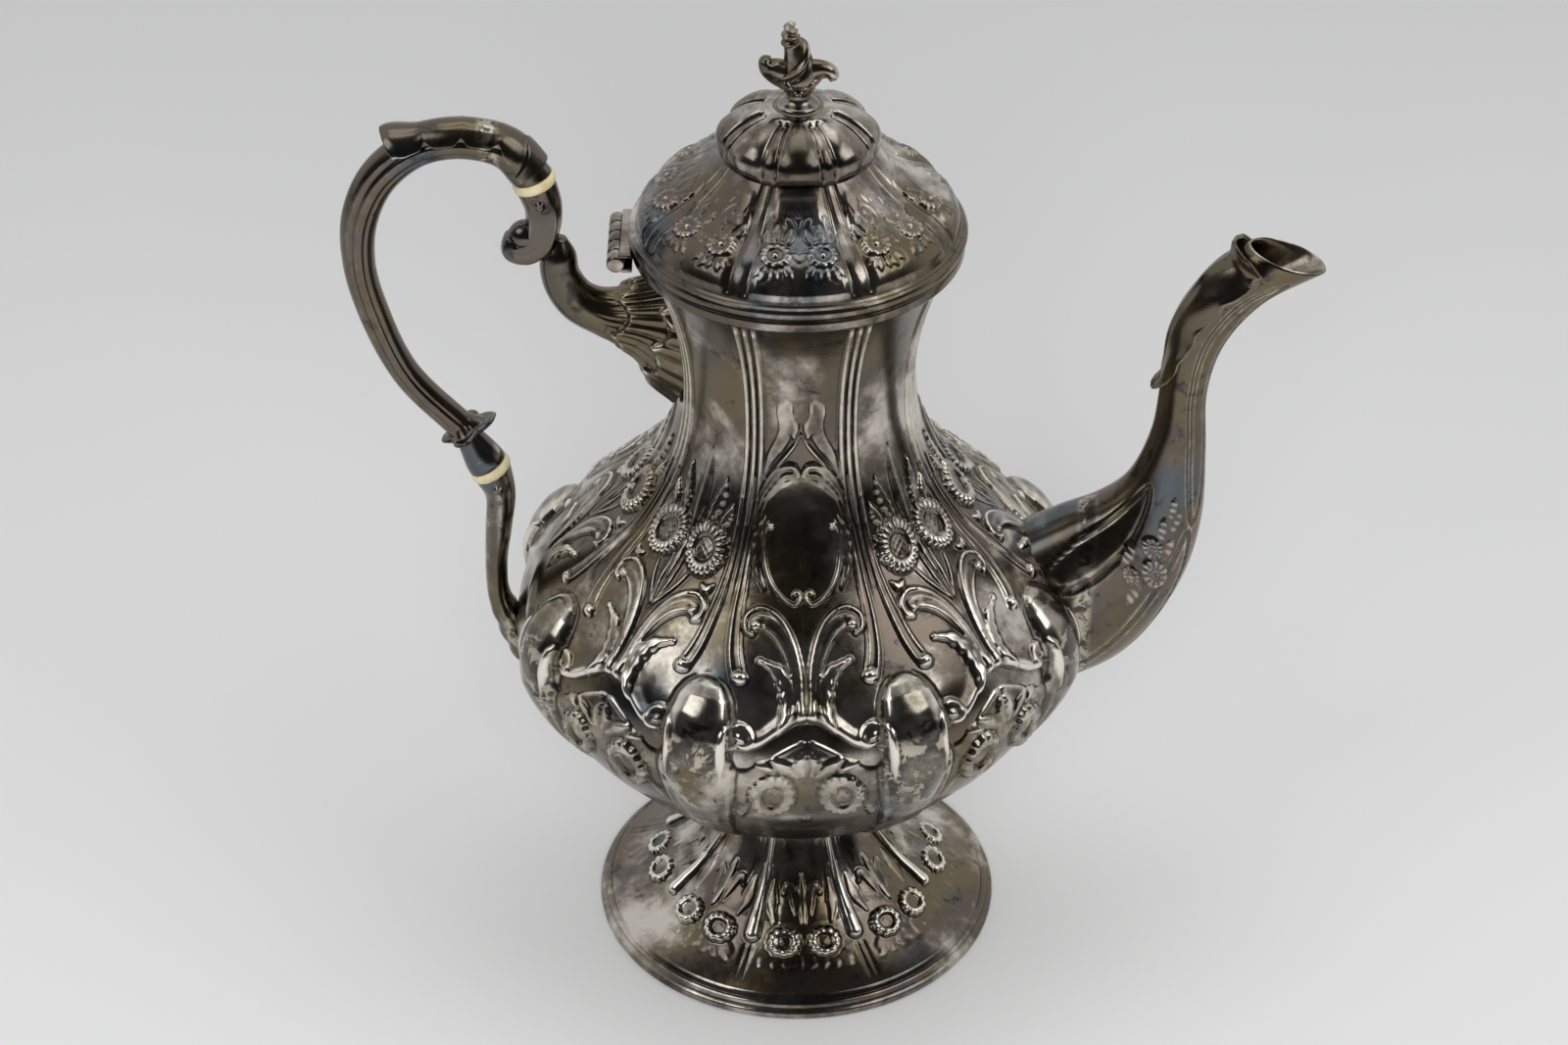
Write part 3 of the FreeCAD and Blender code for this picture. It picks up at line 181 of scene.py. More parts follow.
class Piece:
    """Gathers grids of points, each with a wear value from 0 in a hollow to 1 on a crest, and makes
    one mesh of them."""

    def __init__(self):
        self.points, self.wear, self.faces, self.count = [], [], [], 0

    def add(self, points, wear=0.5, closed_rows=False, caps=(False, False)):
        """A grid closed round its columns, with its first and last rows filled where told."""
        rows, columns = points.shape[:2]
        index = np.arange(rows * columns).reshape(rows, columns) + self.count
        if closed_rows:
            index = np.concatenate([index, index[:1]])
        right = np.roll(index, -1, 1)
        quads = np.stack([index[:-1], right[:-1], right[1:], index[1:]], -1).reshape(-1, 4)
        self.faces.append(quads)
        if caps[0]:
            self.faces.append(index[:1, ::-1])
        if caps[1]:
            self.faces.append(index[-1:])
        self.points.append(points.reshape(-1, 3))
        self.wear.append(np.broadcast_to(wear, points.shape[:2]).reshape(-1))
        self.count += rows * columns
        return self

    def tube(self, points, heights, gain=1.0, dull=0.0):
        """A tube closed at both ends, with its heights also giving its wear."""
        return self.add(points, worn(heights, gain) - dull, caps=BOTH_ENDS)

    def make(self, name, body, node_name, material):
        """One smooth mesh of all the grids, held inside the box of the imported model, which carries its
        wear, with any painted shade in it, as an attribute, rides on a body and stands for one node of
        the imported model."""
        mesh = bpy.data.meshes.new(name)
        mesh.vertices.add(self.count)
        points = np.clip(np.concatenate(self.points) * MM, *np.array(CAD_BOX))
        mesh.vertices.foreach_set("co", points.astype(np.float32).ravel())
        sizes = np.concatenate([np.full(len(faces), faces.shape[1]) for faces in self.faces])
        corners = np.concatenate([faces.ravel() for faces in self.faces])
        mesh.loops.add(len(corners))
        mesh.loops.foreach_set("vertex_index", corners.astype(np.int32))
        mesh.polygons.add(len(sizes))
        mesh.polygons.foreach_set("loop_start", (np.cumsum(sizes) - sizes).astype(np.int32))
        mesh.polygons.foreach_set("use_smooth", np.ones(len(sizes), bool))
        wear = mesh.attributes.new("wear", "FLOAT", "POINT")
        wear.data.foreach_set("value", np.concatenate(self.wear).astype(np.float32))
        mesh.update(calc_edges=True)
        mesh.validate()
        piece = bpy.data.objects.new(name, mesh)
        bpy.context.scene.collection.objects.link(piece)
        mesh.materials.append(material)
        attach(piece, body)
        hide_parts(node_name)


class Lobe:
    """Heights in millimetres over half of one lobe of a turned surface, from its middle line to its
    edge. Ornament is added to the half, which is then mirrored and repeated round the surface."""

    def __init__(self, surface, levels, columns):
        self.surface = surface
        steps = [np.linspace(*surface.length_at(np.array(pair)), count, endpoint=False)
                 for pair, count in levels]
        self.s = np.append(np.concatenate(steps), surface.length_at(levels[-1][0][1]))
        self.azimuth = np.linspace(0, HALF_LOBE, columns + 1)
        self.a, self.along = np.meshgrid(self.azimuth, self.s)
        self.radius = np.interp(self.along, surface.s, surface.r)
        self.height = np.interp(self.along, surface.s, surface.z)
        self.broad = np.zeros_like(self.a)
        self.fine = np.zeros_like(self.a)

    def copy(self):
        """The same grid with its own heights."""
        twin = object.__new__(Lobe)
        twin.__dict__.update(self.__dict__, broad=self.broad.copy(), fine=self.fine.copy())
        return twin

    def offset(self, azimuth, height):
        """Millimetres across and along the surface from a point to every grid point."""
        across = np.radians(self.a - azimuth) * self.radius
        return across, self.along - self.surface.length_at(height)

    def near(self, line):
        """The distance of every grid point from a smooth line through (azimuth, height) points and
        the share of the line's length at the nearest point. Rows well above or below stay far off."""
        track = smooth_line(line, np.linspace(0, 1, 120))
        lengths_up = self.surface.length_at(track[:, 1])
        distance, share = np.full(self.a.shape, 99.0), np.zeros(self.a.shape)
        rows = (self.s > lengths_up.min() - 6) & (self.s < lengths_up.max() + 6)
        across = np.radians(self.a[rows][..., None] - track[:, 0]) * self.radius[rows][..., None]
        squares = across**2 + (self.along[rows][..., None] - lengths_up)**2
        radius = np.interp(track[:, 1], self.surface.z, self.surface.r)
        run = lengths(np.stack([np.radians(track[:, 0]) * radius, lengths_up], -1))
        distance[rows] = np.sqrt(squares.min(-1))
        share[rows] = (run / run[-1])[squares.argmin(-1)]
        return distance, share

    def raise_to(self, heights):
        """The greater of the heights so far and new ones above 0, so that engraved lines stay."""
        self.fine = np.where(heights > 0, np.maximum(self.fine, heights), self.fine)

    def rib(self, line, widths, height, channel=0.0, edge=0.12):
        """A rounded rib: height * sqrt(1 - q*q), where q is the distance over a half width that
        changes along the line. A channel sinks it between two rims, an edge cuts a line beside it."""
        distance, share = self.near(line)
        width = np.interp(share, np.linspace(0, 1, len(widths)), widths)
        q = distance / width
        full = height * np.interp(width, [0, max(widths)], [0.45, 1])
        rims = bump(q, 0.72, 0.2)
        body = arch(q) * (1 - channel) + channel * rims * (q < 1.3)
        self.raise_to(full * body)
        self.fine -= edge * bump(distance - width, 0.2, 0.3)

    def leaf(self, line, widths, height, lobes=5, notch=0.28):
        """A leaf of rounded lobes: its half width drops to a notch between lobes as the size of a
        sine, its middle is dished, and a faint slanting vein runs out to each notch."""
        distance, share = self.near(line)
        width = np.interp(share, np.linspace(0, 1, len(widths)), widths)
        way = share * lobes
        fullness = np.abs(np.sin(math.pi * (way - 0.3 * distance / width)))**0.7
        q = distance / (width * (1 - notch * (1 - fullness)) + 1e-6)
        blade = arch(q, 2.4) * (0.82 + 0.18 * np.minimum(q * 2, 1))
        veins = 1 - 0.16 * np.abs(np.cos(math.pi * (way - 0.6 * q)))**6 * ease(0.1, 0.5, q)
        self.raise_to(height * blade * veins)
        self.fine -= 0.1 * bump(distance - width, 0.1, 0.3)

    def dome(self, azimuth, height, across, along, rise):
        """An oval dome: rise * sqrt(1 - q*q), where q is 1 on the oval's edge, in a cut line."""
        x, y = self.offset(azimuth, height)
        q = np.hypot(x / across, y / along)
        self.raise_to(rise * arch(q))
        self.fine -= 0.1 * bump((q - 1) * min(across, along), 0, 0.35)

    def daisy(self, azimuth, height, across, along, rise, lean, petals):
        """A daisy: a stippled eye sunk inside a broad ruff of petals, a parabola across its width that
        is creased between petals. Its polar coordinates are stretched to an oval and leaned."""
        x, y = self.offset(azimuth, height)
        turn = math.radians(lean)
        u = (x * math.cos(turn) + y * math.sin(turn)) / across
        v = (y * math.cos(turn) - x * math.sin(turn)) / along
        q, angle = np.hypot(u, v), np.arctan2(v, u)
        stipple = 0.08 * np.sin(x * 3.4 + 0.5 * y) * np.sin(y * 3.1 - 0.4 * x)
        eye = rise * (0.24 + 0.2 * arch(q / 0.45)) + stipple
        gaps = np.abs(np.cos(angle * petals / 2 + 0.5 * np.sin(3 * angle)))**0.6
        creased = 1 - 0.5 * ease(0.46, 0.7, q) * (1 - gaps)
        ruff = rise * np.clip(1 - ((q - 0.68) / 0.42)**2, 0, 1) * creased * (0.9 - 0.28 * v)
        inside = ease(0, 0.09, 0.84 + 0.16 * gaps - q)
        flower = np.where(q < 0.45, eye, ruff)
        self.fine = np.where(q < 1.05, self.fine * (1 - inside) + flower * inside, self.fine)
        self.fine -= 0.1 * rise * bump(q, 0.46, 0.04) + 0.1 * bump(q, 1.05, 0.06)

    def line(self, points, depth, width=0.35):
        """An engraved line: a groove whose depth falls off as a bell curve from its middle."""
        distance, share = self.near(points)
        self.fine -= depth * bump(distance, 0, width) * ease(0, 0.04, share) * ease(0, 0.04, 1 - share)

    def heights(self):
        """Broad swells and fine ornament together."""
        return self.broad + self.fine


def ringed(lobes, turn):
    """Azimuths and heights round the whole surface: each lobe is its half mirrored, then its half,
    with a slow wander so that no two lobes are quite alike."""
    halves = [np.concatenate([lobe.heights()[:, :0:-1], lobe.heights()[:, :-1]], 1) for lobe in lobes]
    heights = np.concatenate(halves, 1)
    columns = halves[0].shape[1]
    azimuth = np.arange(LOBES * columns) * (360 / LOBES / columns) - HALF_LOBE
    rows = np.linspace(0, 1, len(heights))[:, None]
    wander = 0.22 * np.sin(np.radians(azimuth * 3 + 40) + rows * 5)
    wander += 0.12 * np.sin(np.radians(azimuth * 7) - rows * 9)
    return azimuth + turn + wander, heights


def worn(heights, gain=1.0, times=14):
    """Wear from the heights: 0.5 on even ground, more on crests, less in hollows."""
    return np.clip(0.5 + gain * (heights - blurred(heights, times)), 0, 1)


def shell(lobe, azimuth, heights, wear, rows, wall, name, body, node_name):
    """One closed piece of a turned wall: the ornamented outside over a span of rows, then the plain
    inside a wall's thickness in, back from the top to the bottom."""
    span = slice(rows[0], rows[1] + 1)
    s = lobe.s[span]
    outside = lobe.surface.points(azimuth[span], s[:, None], heights[span])
    back = np.linspace(s[-1], s[0], 6)
    inside = lobe.surface.points(azimuth[span][:1], back[:, None], -wall)
    piece = Piece().add(outside, wear[span])
    for part in (inside, np.stack([outside[-1], inside[0]]), np.stack([inside[-1], outside[0]])):
        piece.add(part, INSIDE_WEAR)
    piece.make(name, body, node_name, SILVER)


# Finishes

class Field:
    """A socket of a node tree, so that sums and products of fields add the nodes they need."""

    def __init__(self, tree, socket):
        self.tree, self.socket = tree, socket

    def maths(self, operation, *values):
        return node(self.tree, "ShaderNodeMath", {"operation": operation}, values)

    def __add__(self, other):
        return self.maths("ADD", self, other)

    def __rsub__(self, other):
        return self.maths("SUBTRACT", other, self)

    def __mul__(self, other):
        return self.maths("MULTIPLY", self, other)

    __radd__, __rmul__ = __add__, __mul__

    def span(self, low, high):
        """The field mapped by a smooth step from low..high to 0..1."""
        settings = {"interpolation_type": "SMOOTHSTEP"}
        return node(self.tree, "ShaderNodeMapRange", settings, [self, low, high, 0.0, 1.0])


def node(tree, kind, settings, values, output=0):
    """One node: its settings, then its sockets by place or name, then one output as a field."""
    made = tree.nodes.new(kind)
    for key, value in settings.items():
        setattr(made, key, value)
    items = values.items() if isinstance(values, dict) else enumerate(values)
    for key, value in items:
        if isinstance(value, Field):
            tree.links.new(value.socket, made.inputs[key])
        else:
            made.inputs[key].default_value = value
    return Field(tree, made.outputs[output])


def mixed(share, first, second):
    """A colour between two, by a field from 0 to 1."""
    return node(share.tree, "ShaderNodeMix", {"data_type": "RGBA"}, {0: share, 6: first, 7: second}, 2)


def colour(red, green, blue):
    """An opaque colour."""
    return (red, green, blue, 1.0)


def noise(place, scale, detail=3.0, rough=0.55, bend=0.0):
    """Cloudy noise from 0 to 1, with so many features to the metre."""
    values = {"Vector": place, "Scale": scale, "Detail": detail, "Roughness": rough, "Distortion": bend}
    return node(place.tree, "ShaderNodeTexNoise", {}, values)


def finish_of(name):
    """A new material with its nodes and its surface shader."""
    material = bpy.data.materials.new(name)
    material.use_nodes = True
    tree = material.node_tree
    return material, tree, tree.nodes["Principled BSDF"]


def coordinate(place, axis):
    """One coordinate of a place: 0 for x, 1 for y, 2 for z."""
    return node(place.tree, "ShaderNodeSeparateXYZ", {}, [place], axis)


def set_inputs(tree, shader, **values):
    """The shader's inputs, by their names in lower case, set to values or linked to fields."""
    for key, value in values.items():
        socket = shader.inputs[key.replace("_", " ").title()]
        if isinstance(value, Field):
            tree.links.new(value.socket, socket)
        else:
            socket.default_value = value


def silver(name, worn_by=0.0, darkness=0.0):
    """Tarnished silver: bright where it is worn, brown and olive films in broad patches, blue and
    copper tints at their borders, black specks, and pale polish left in the hollows. Over the lower
    bowl the films are deepened by height as painted shade, and the wear attribute brings painted shade
    there too. The bosses, found by their distance from the upright axis, have paler patches and dark
    spots."""
    material, tree, shader = finish_of(name)
    place = node(tree, "ShaderNodeTexCoord", {}, {}, 3)
    wear = node(tree, "ShaderNodeAttribute", {"attribute_name": "wear"}, {}, 2) + worn_by
    broad = noise(place, 26, 4, 0.6, 0.5)
    patch = noise(place, 75, 5, 0.62, 0.3)
    grain = noise(place, 420, 4, 0.6)
    specks = noise(place, 150, 5, 0.7, 0.6)
    rise = coordinate(place, 2)
    # Painted shade: the films are deepened over the lower bowl, from about 45 to 112 mm up and fullest from
    # 55 to 90 mm, for its darker reflection.
    low = rise.span(0.112, 0.09) * rise.span(0.045, 0.055) * 0.07
    film_and_shade = (broad * 0.66 + patch * 0.4 + low + darkness).span(0.4, 0.56)
    tint = noise(place, 20, 2, 0.5, 1.2)
    hues = node(tree, "ShaderNodeValToRGB", {}, [tint])
    ramp = hues.socket.node.color_ramp
    stops = [(0.30, (0.17, 0.13, 0.085)), (0.42, (0.15, 0.125, 0.08)), (0.50, (0.12, 0.105, 0.085)),
        (0.57, (0.15, 0.12, 0.095)), (0.68, (0.10, 0.115, 0.125))]
    while len(ramp.elements) < len(stops):
        ramp.elements.new(0.5)
    for element, (spot, shade) in zip(ramp.elements, stops):
        element.position, element.color = spot, colour(*shade)
    pale = mixed(patch.span(0.35, 0.65), colour(0.60, 0.56, 0.50), colour(0.34, 0.31, 0.265))
    ground = mixed(film_and_shade, pale, hues)
    black = specks.span(0.56, 0.66) * film_and_shade
    ground = mixed(black * 0.85, ground, colour(0.05, 0.045, 0.045))
    flat = node(tree, "ShaderNodeVectorMath", {"operation": "MULTIPLY"}, [place, (1, 1, 0)])
    reach = node(tree, "ShaderNodeVectorMath", {"operation": "LENGTH"}, [flat], 1)
    boss = reach.span(0.0725, 0.0745) * reach.span(0.079, 0.077)
    ground = mixed(boss * patch.span(0.45, 0.5) * 0.65, ground, colour(0.62, 0.57, 0.46))
    ground = mixed(boss * (specks * 0.6 + patch * 0.4).span(0.5, 0.54) * 0.9, ground,
        colour(0.04, 0.035, 0.035))
    crest = (wear + grain * 0.25 + patch * 0.2).span(0.76, 1.2)
    metal = mixed(crest, ground, colour(0.80, 0.76, 0.67))
    hollow = (wear + grain * 0.3).span(0.42, 0.2)
    metal = mixed(hollow * 0.85, metal, colour(0.035, 0.03, 0.026))
    polish = (wear + specks * 0.5).span(0.42, 0.22) * (patch.span(0.52, 0.62) + wear.span(0.1, -0.1))
    base = mixed(polish * 0.5, metal, colour(0.55, 0.51, 0.40))
    rough = film_and_shade * 0.07 + grain * 0.12 + hollow * 0.2 + polish * 0.3 + 0.08
    height = grain * 0.6 + specks * 0.4
    dents = node(tree, "ShaderNodeBump", {}, {"Strength": 0.12, "Distance": 0.0004, "Height": height})
    set_inputs(tree, shader, base_color=base, metallic=1.0 - polish * 0.6, roughness=rough, normal=dents)
    return material


def ivory():
    """Old ivory: cream clouded with tan, and a darker grain."""
    material, tree, shader = finish_of("old_ivory")
    place = node(tree, "ShaderNodeTexCoord", {}, {}, 3)
    cloud = noise(place, 160, 4)
    grain = noise(place, 900, 3)
    base = mixed(cloud.span(0.35, 0.7), colour(0.80, 0.70, 0.46), colour(0.62, 0.48, 0.25))
    base = mixed(grain.span(0.62, 0.75) * 0.5, base, colour(0.38, 0.27, 0.13))
    set_inputs(tree, shader, base_color=base, roughness=0.3 + grain * 0.2)
    return material


SILVER = silver("tarnished_silver")
PLAIN_SILVER = silver("plain_silver", 0.5)
DARK_SILVER = silver("dark_silver", 0.0, 0.14)
IVORY = ivory()


# Body

# Bands of the body: the heights they span, the piece, the solid it stands for and its rows.
BODY_BANDS = [(43, 72, "bowl_base", "lower_bowl", 52), (72, 94, "bowl_side", "lower_bowl", 62),
    (94, 116, "bowl_brow", "lower_bowl", 68), (116, 133, "shoulder", "upper_body", 70),
    (133, 150, "shoulder_top", "upper_body", 68), (150, 176, "neck_foot", "upper_body", 70),
    (176, 208.5, "neck", "upper_body", 40)]


def body_lobes():
    """The body's lobes: a bare cartouche on the front and back, a bouquet on the rest, without the
    shield under the spout and the handle. All have reeds, a scroll pair, leaves and bosses."""
    lobe = Lobe(BODY, [((low, high), rows) for low, high, _, _, rows in BODY_BANDS], 64)
    a, z, radius = lobe.a, lobe.height, lobe.radius
    to_edge = np.radians(HALF_LOBE - a) * radius

    # Bosses: swells on the lobes' edges, round at the top, with tails down the bowl.
    levels = [43, 50, 62, 75, 85, 95, 102, 108, 112.5, 116, 118.4, 119.8, 120.4]
    half_widths = np.interp(z, levels, [2, 3, 4.4, 5.4, 6.2, 7.3, 8.1, 8.4, 8, 6.8, 4.9, 2.8, 0.01])
    swell = np.interp(z, levels, [0.2, 0.4, 0.8, 1.3, 1.9, 3, 3.9, 4.3, 4, 3.2, 2.1, 1, 0])
    lobe.broad += swell * arch(to_edge / half_widths, 2.2)
    lobe.broad -= 0.5 * bump(to_edge - half_widths, 0.4, 0.6) * ease(122, 118, z)

    # Shield: a field between the bosses, sunk at its top under an ogee lip, edged by volute strips.
    strip = np.interp(z, [43, 74.6, 88, 100.5, 107.5, 112], [17.6, 17.4, 16.4, 15.8, 16.2, 15.2])
    inside = np.radians(strip - a) * radius
    lip = np.interp(a, [0, 1.5, 3, 6, 9.2, 11.7, 14], [113.9, 113.7, 112.9, 110.8, 108, 106.4, 106])
    below = lip - z
    field = ease(0, 1.2, inside) * ease(-0.3, 0.8, below)
    sink = field * (1.6 * bump(below, 2.6, 2.6) + 0.9 * ease(60, 80, z))
    lobe.broad -= sink
    lobe.broad += 0.9 * bump(below, -1.4, 2) * ease(14, 10.5, a)
    lobe.raise_to(0.5 * bump(below, 5.2, 0.9) * ease(12.5, 10, a) * ease(0, 2.5, a + 1))
    lobe.rib([(17.8, 68), (17.2, 76), (16.4, 88), (15.9, 100.5), (16.3, 106.4), (15.6, 110), (13.7, 111.2),
        (12, 109.6), (12.3, 107.6), (13.8, 107.7)], [0.7, 0.9, 1.2, 1.6, 2, 1.8, 1.1], 1.6, 0.3)
    lobe.dome(13.7, 109.2, 1.4, 1.4, 1.5)
    for line in ([(2, 99.5), (4.5, 102), (7.5, 104.5)], [(0.8, 100), (1.2, 103.5), (0.6, 106.5)],
            [(7, 101), (9.5, 103), (12, 103)], [(12, 88), (13.6, 84.5), (14.2, 80.5)]):
        lobe.leaf(line, [0.9, 2, 0.4], 0.7, 4)
    lobe.rib([(0, 86.5), (0, 82.5), (0, 78)], [0.5, 1.4, 0.3], 0.6)
    lobe.daisy(7, 92.4, across=6.2, along=8.2, rise=2.2, lean=14, petals=16)

    # Scroll pair above the shield: a full band that widens into a curled head, finely rimmed.
    lobe.rib([(1.2, 112.6), (1.7, 118.3), (2.6, 123.1), (4, 127.2), (6.8, 130.1), (10.4, 131.4),
        (13.4, 131.2), (14.5, 130)], [0.7, 1.2, 1.5, 1.8, 2.2, 2.5, 1.8], 1.35)
    lobe.rib([(0.4, 112), (0.8, 118), (1.3, 123.6), (2.7, 127.6), (5.3, 130.9), (9.6, 133), (13.7, 133.1),
        (16.3, 131.3), (15.8, 129.4), (13.9, 128.9)], [0.35, 0.4, 0.45, 0.5, 0.6, 0.7, 0.6], 1.35)
    lobe.rib([(3, 119.2), (3.9, 124), (5.5, 126.8), (8, 129), (10.6, 130), (12.8, 130.2)],
        [0.25, 0.45, 0.7, 0.9, 0.7], 1.35)
    lobe.dome(13.3, 130.3, 1.6, 1.3, 1.6)
    lobe.line([(2.2, 119), (3.2, 124.6), (5.4, 128.6), (9, 130.8), (12, 131.6)], 0.22, 0.25)

    # The leaf under each scroll, its stem and its curled tip.
    lobe.leaf([(5.8, 110.4), (4.3, 115), (4.3, 119.4), (6.4, 122.4), (10.6, 124.3)],
        [0.7, 1.9, 2.5, 2.1, 0.6], 1.2, 6)
    lobe.rib([(6, 110), (4.6, 115), (4.6, 119.2), (6.6, 122), (9.6, 123.8)], [0.4, 0.5, 0.4, 0.3], 1.3)
    lobe.dome(10.9, 124.3, 1, 0.9, 1.1)

    # Reeds: three on the neck, and two ribs that part over the boss and end in curled bulbs.
    reed_end = ease(146, 150, z) * ease(208, 206, z)
    for spot in (HALF_LOBE, HALF_LOBE - 3.6):
        offset = np.radians(a - spot) * radius
        lobe.raise_to(0.7 * arch(offset / 0.75) * reed_end)
        for edge in (-0.92, 0.92):
            lobe.fine -= 0.3 * bump(offset, edge, 0.24) * reed_end
    lobe.rib([(18.9, 154), (19.6, 147), (19.5, 138), (18.7, 130), (17.4, 124.6), (15.9, 121.2)],
        [0.75, 0.9, 1.1, 1.4, 1.7, 2], 0.95, 0.6)
    lobe.dome(15.6, 120.9, 2.2, 1.9, 1.4)
    lobe.line([(14.4, 122), (15.9, 122), (16.7, 120.9), (15.8, 119.9), (14.9, 120.6)], 0.35, 0.3)
    lobe.raise_to(0.5 * arch(to_edge / 0.7) * ease(132, 145, z) * ease(151, 148, z))

    # The bouquet: a pair of daisies, stalks and a spray of leaves.
    bouquet = lobe.copy()
    for line in ([(0.5, 128.6), (2.4, 131), (4.6, 133.4), (6.4, 136)],
            [(0.4, 129), (1.6, 133), (2.2, 137.5), (3.6, 141)]):
        bouquet.rib(line, [0.3, 0.5, 0.4], 0.6, 0, 0.08)
    for line, size in (([(6, 147), (8, 151), (9.5, 154.6), (10.4, 158)], 0.9),
            ([(12, 147), (14, 149.4), (15.6, 152.2)], 0.8),
            ([(14, 138.6), (15.8, 141), (16.8, 144.6)], 0.8),
            ([(12.4, 135), (14.4, 134.4), (16.2, 135.6)], 0.7)):
        bouquet.leaf(line, [0.9 * size, 2.1 * size, 1.7 * size, 0.35], 0.85, 5, 0.35)
    bouquet.rib([(0, 143), (0, 150), (0, 157), (0, 165)], [0.6, 1.8, 1.4, 0.3], 0.8)
    bouquet.rib([(0, 134), (0, 138), (0, 142.5)], [0.5, 1.3, 0.3], 0.7)
    bouquet.daisy(8.8, 141.4, across=6, along=7.6, rise=1.9, lean=12, petals=22)

    # Under the spout and the handle the shield is left out.
    rooted = bouquet.copy()
    rooted.broad += sink
    rooted.fine *= 1 - ease(8, 11, strip - a + 9) * ease(120, 116, z)

    # The cartouche: plume, crest, scrolls and leaves round an oval that is left bare.
    cartouche = lobe
    cartouche.rib([(17, 161), (16, 163.4), (13.6, 167), (10.2, 170.4), (7.6, 174), (7.4, 177), (8.6, 179.8),
        (8.2, 182.6), (6.2, 183.4), (4.8, 181.4)], [0.4, 1, 1.7, 1.9, 1.8, 1.5, 0.9], 1, 0.15)
    cartouche.leaf([(3.2, 172.5), (3.8, 176), (5.2, 179.5), (4.6, 182)], [0.5, 1.8, 1.4, 0.4], 0.9, 4, 0.2)
    cartouche.rib([(0.2, 173.6), (2.8, 170.7), (6.5, 167.7), (11.9, 164), (16.3, 160.9)],
        [0.3, 0.5, 0.6, 0.4], 0.7)
    cartouche.rib([(1.2, 160.4), (1.4, 162.4), (2.7, 164), (6.3, 164.4), (11.8, 162.4), (16.1, 158.6),
        (18.3, 154.6), (18.6, 150.4)], [0.5, 0.9, 1, 0.9, 0.7, 0.4], 0.95, 0.4)
    cartouche.leaf([(3.4, 162.4), (7.5, 162), (12, 159.4), (16, 155.6)], [0.6, 1.3, 1.2, 0.3], 0.55, 5)
    oval = np.interp(z, [133.9, 134.8, 136, 138.9, 142.1, 146.6, 151.1, 155.7, 159, 160.8, 161.4],
        [0.3, 5, 9.2, 13.7, 15.8, 16.9, 17.2, 15, 10, 4, 0.3])
    reserve = np.radians(oval - a) * radius
    bare = ease(-0.2, 0.5, reserve)
    cartouche.fine = cartouche.fine * (1 - bare) - 0.15 * bare
    cartouche.raise_to(0.35 * bump(reserve, -0.3, 0.4) * ease(133.9, 135, z) * ease(161.6, 160, z))
    cartouche.rib([(11.6, 149.4), (13.4, 150), (14.8, 147.8), (14.3, 144.4), (13, 140.8), (10.4, 137.7),
        (7.2, 135.6), (4.4, 134.4), (1.9, 134.2), (0.9, 135.4), (2, 136.4), (2.9, 135.8)],
        [0.4, 0.8, 0.8, 0.6, 0.55, 0.5], 0.8)
    cartouche.leaf([(14.6, 151.2), (16.2, 148.4), (16.8, 144.6), (15.6, 140.4), (12.4, 136.6)],
        [0.4, 1.3, 1.5, 1.2, 0.4], 0.6, 6)
    cartouche.dome(12.2, 149.4, 0.8, 0.8, 0.8)
    return cartouche, bouquet, rooted


def make_body():
    """The body: the lobes in turn, softened, in bands from the stem to the mouth. Relief that would
    pass the front limit is eased in by the log of 1 plus an exponential."""
    cartouche, bouquet, rooted = body_lobes()
    lobes = [cartouche, bouquet, rooted, bouquet] * 2
    azimuth, heights = ringed(lobes, 1.7)
    heights = blurred(heights, 2)
    wear = worn(heights, 0.9, 40)
    # Painted shade: below 96 mm the bowl's crests are held back from the brightest wear, and they are freed
    # again by 104 mm.
    painted_shade_fade = BODY.length_at(np.array([96, 104]))
    wear = np.minimum(wear, np.interp(cartouche.s, painted_shade_fade, [0.66, 1])[:, None])
    facing = np.abs(np.cos(np.radians(azimuth)))
    depth = (np.interp(cartouche.s, BODY.s, BODY.r)[:, None] + heights) * facing
    past = np.logaddexp(0, (depth - FRONT_LIMIT) / FRONT_EASE)
    heights = heights - FRONT_EASE * past / np.maximum(facing, 0.5)
    for low, high, name, node_name, _ in BODY_BANDS:
        rows = [int(np.abs(cartouche.s - BODY.length_at(level)).argmin()) for level in (low, high)]
        shell(cartouche, azimuth, heights, wear, rows, BODY_WALL, name, "pot", node_name)


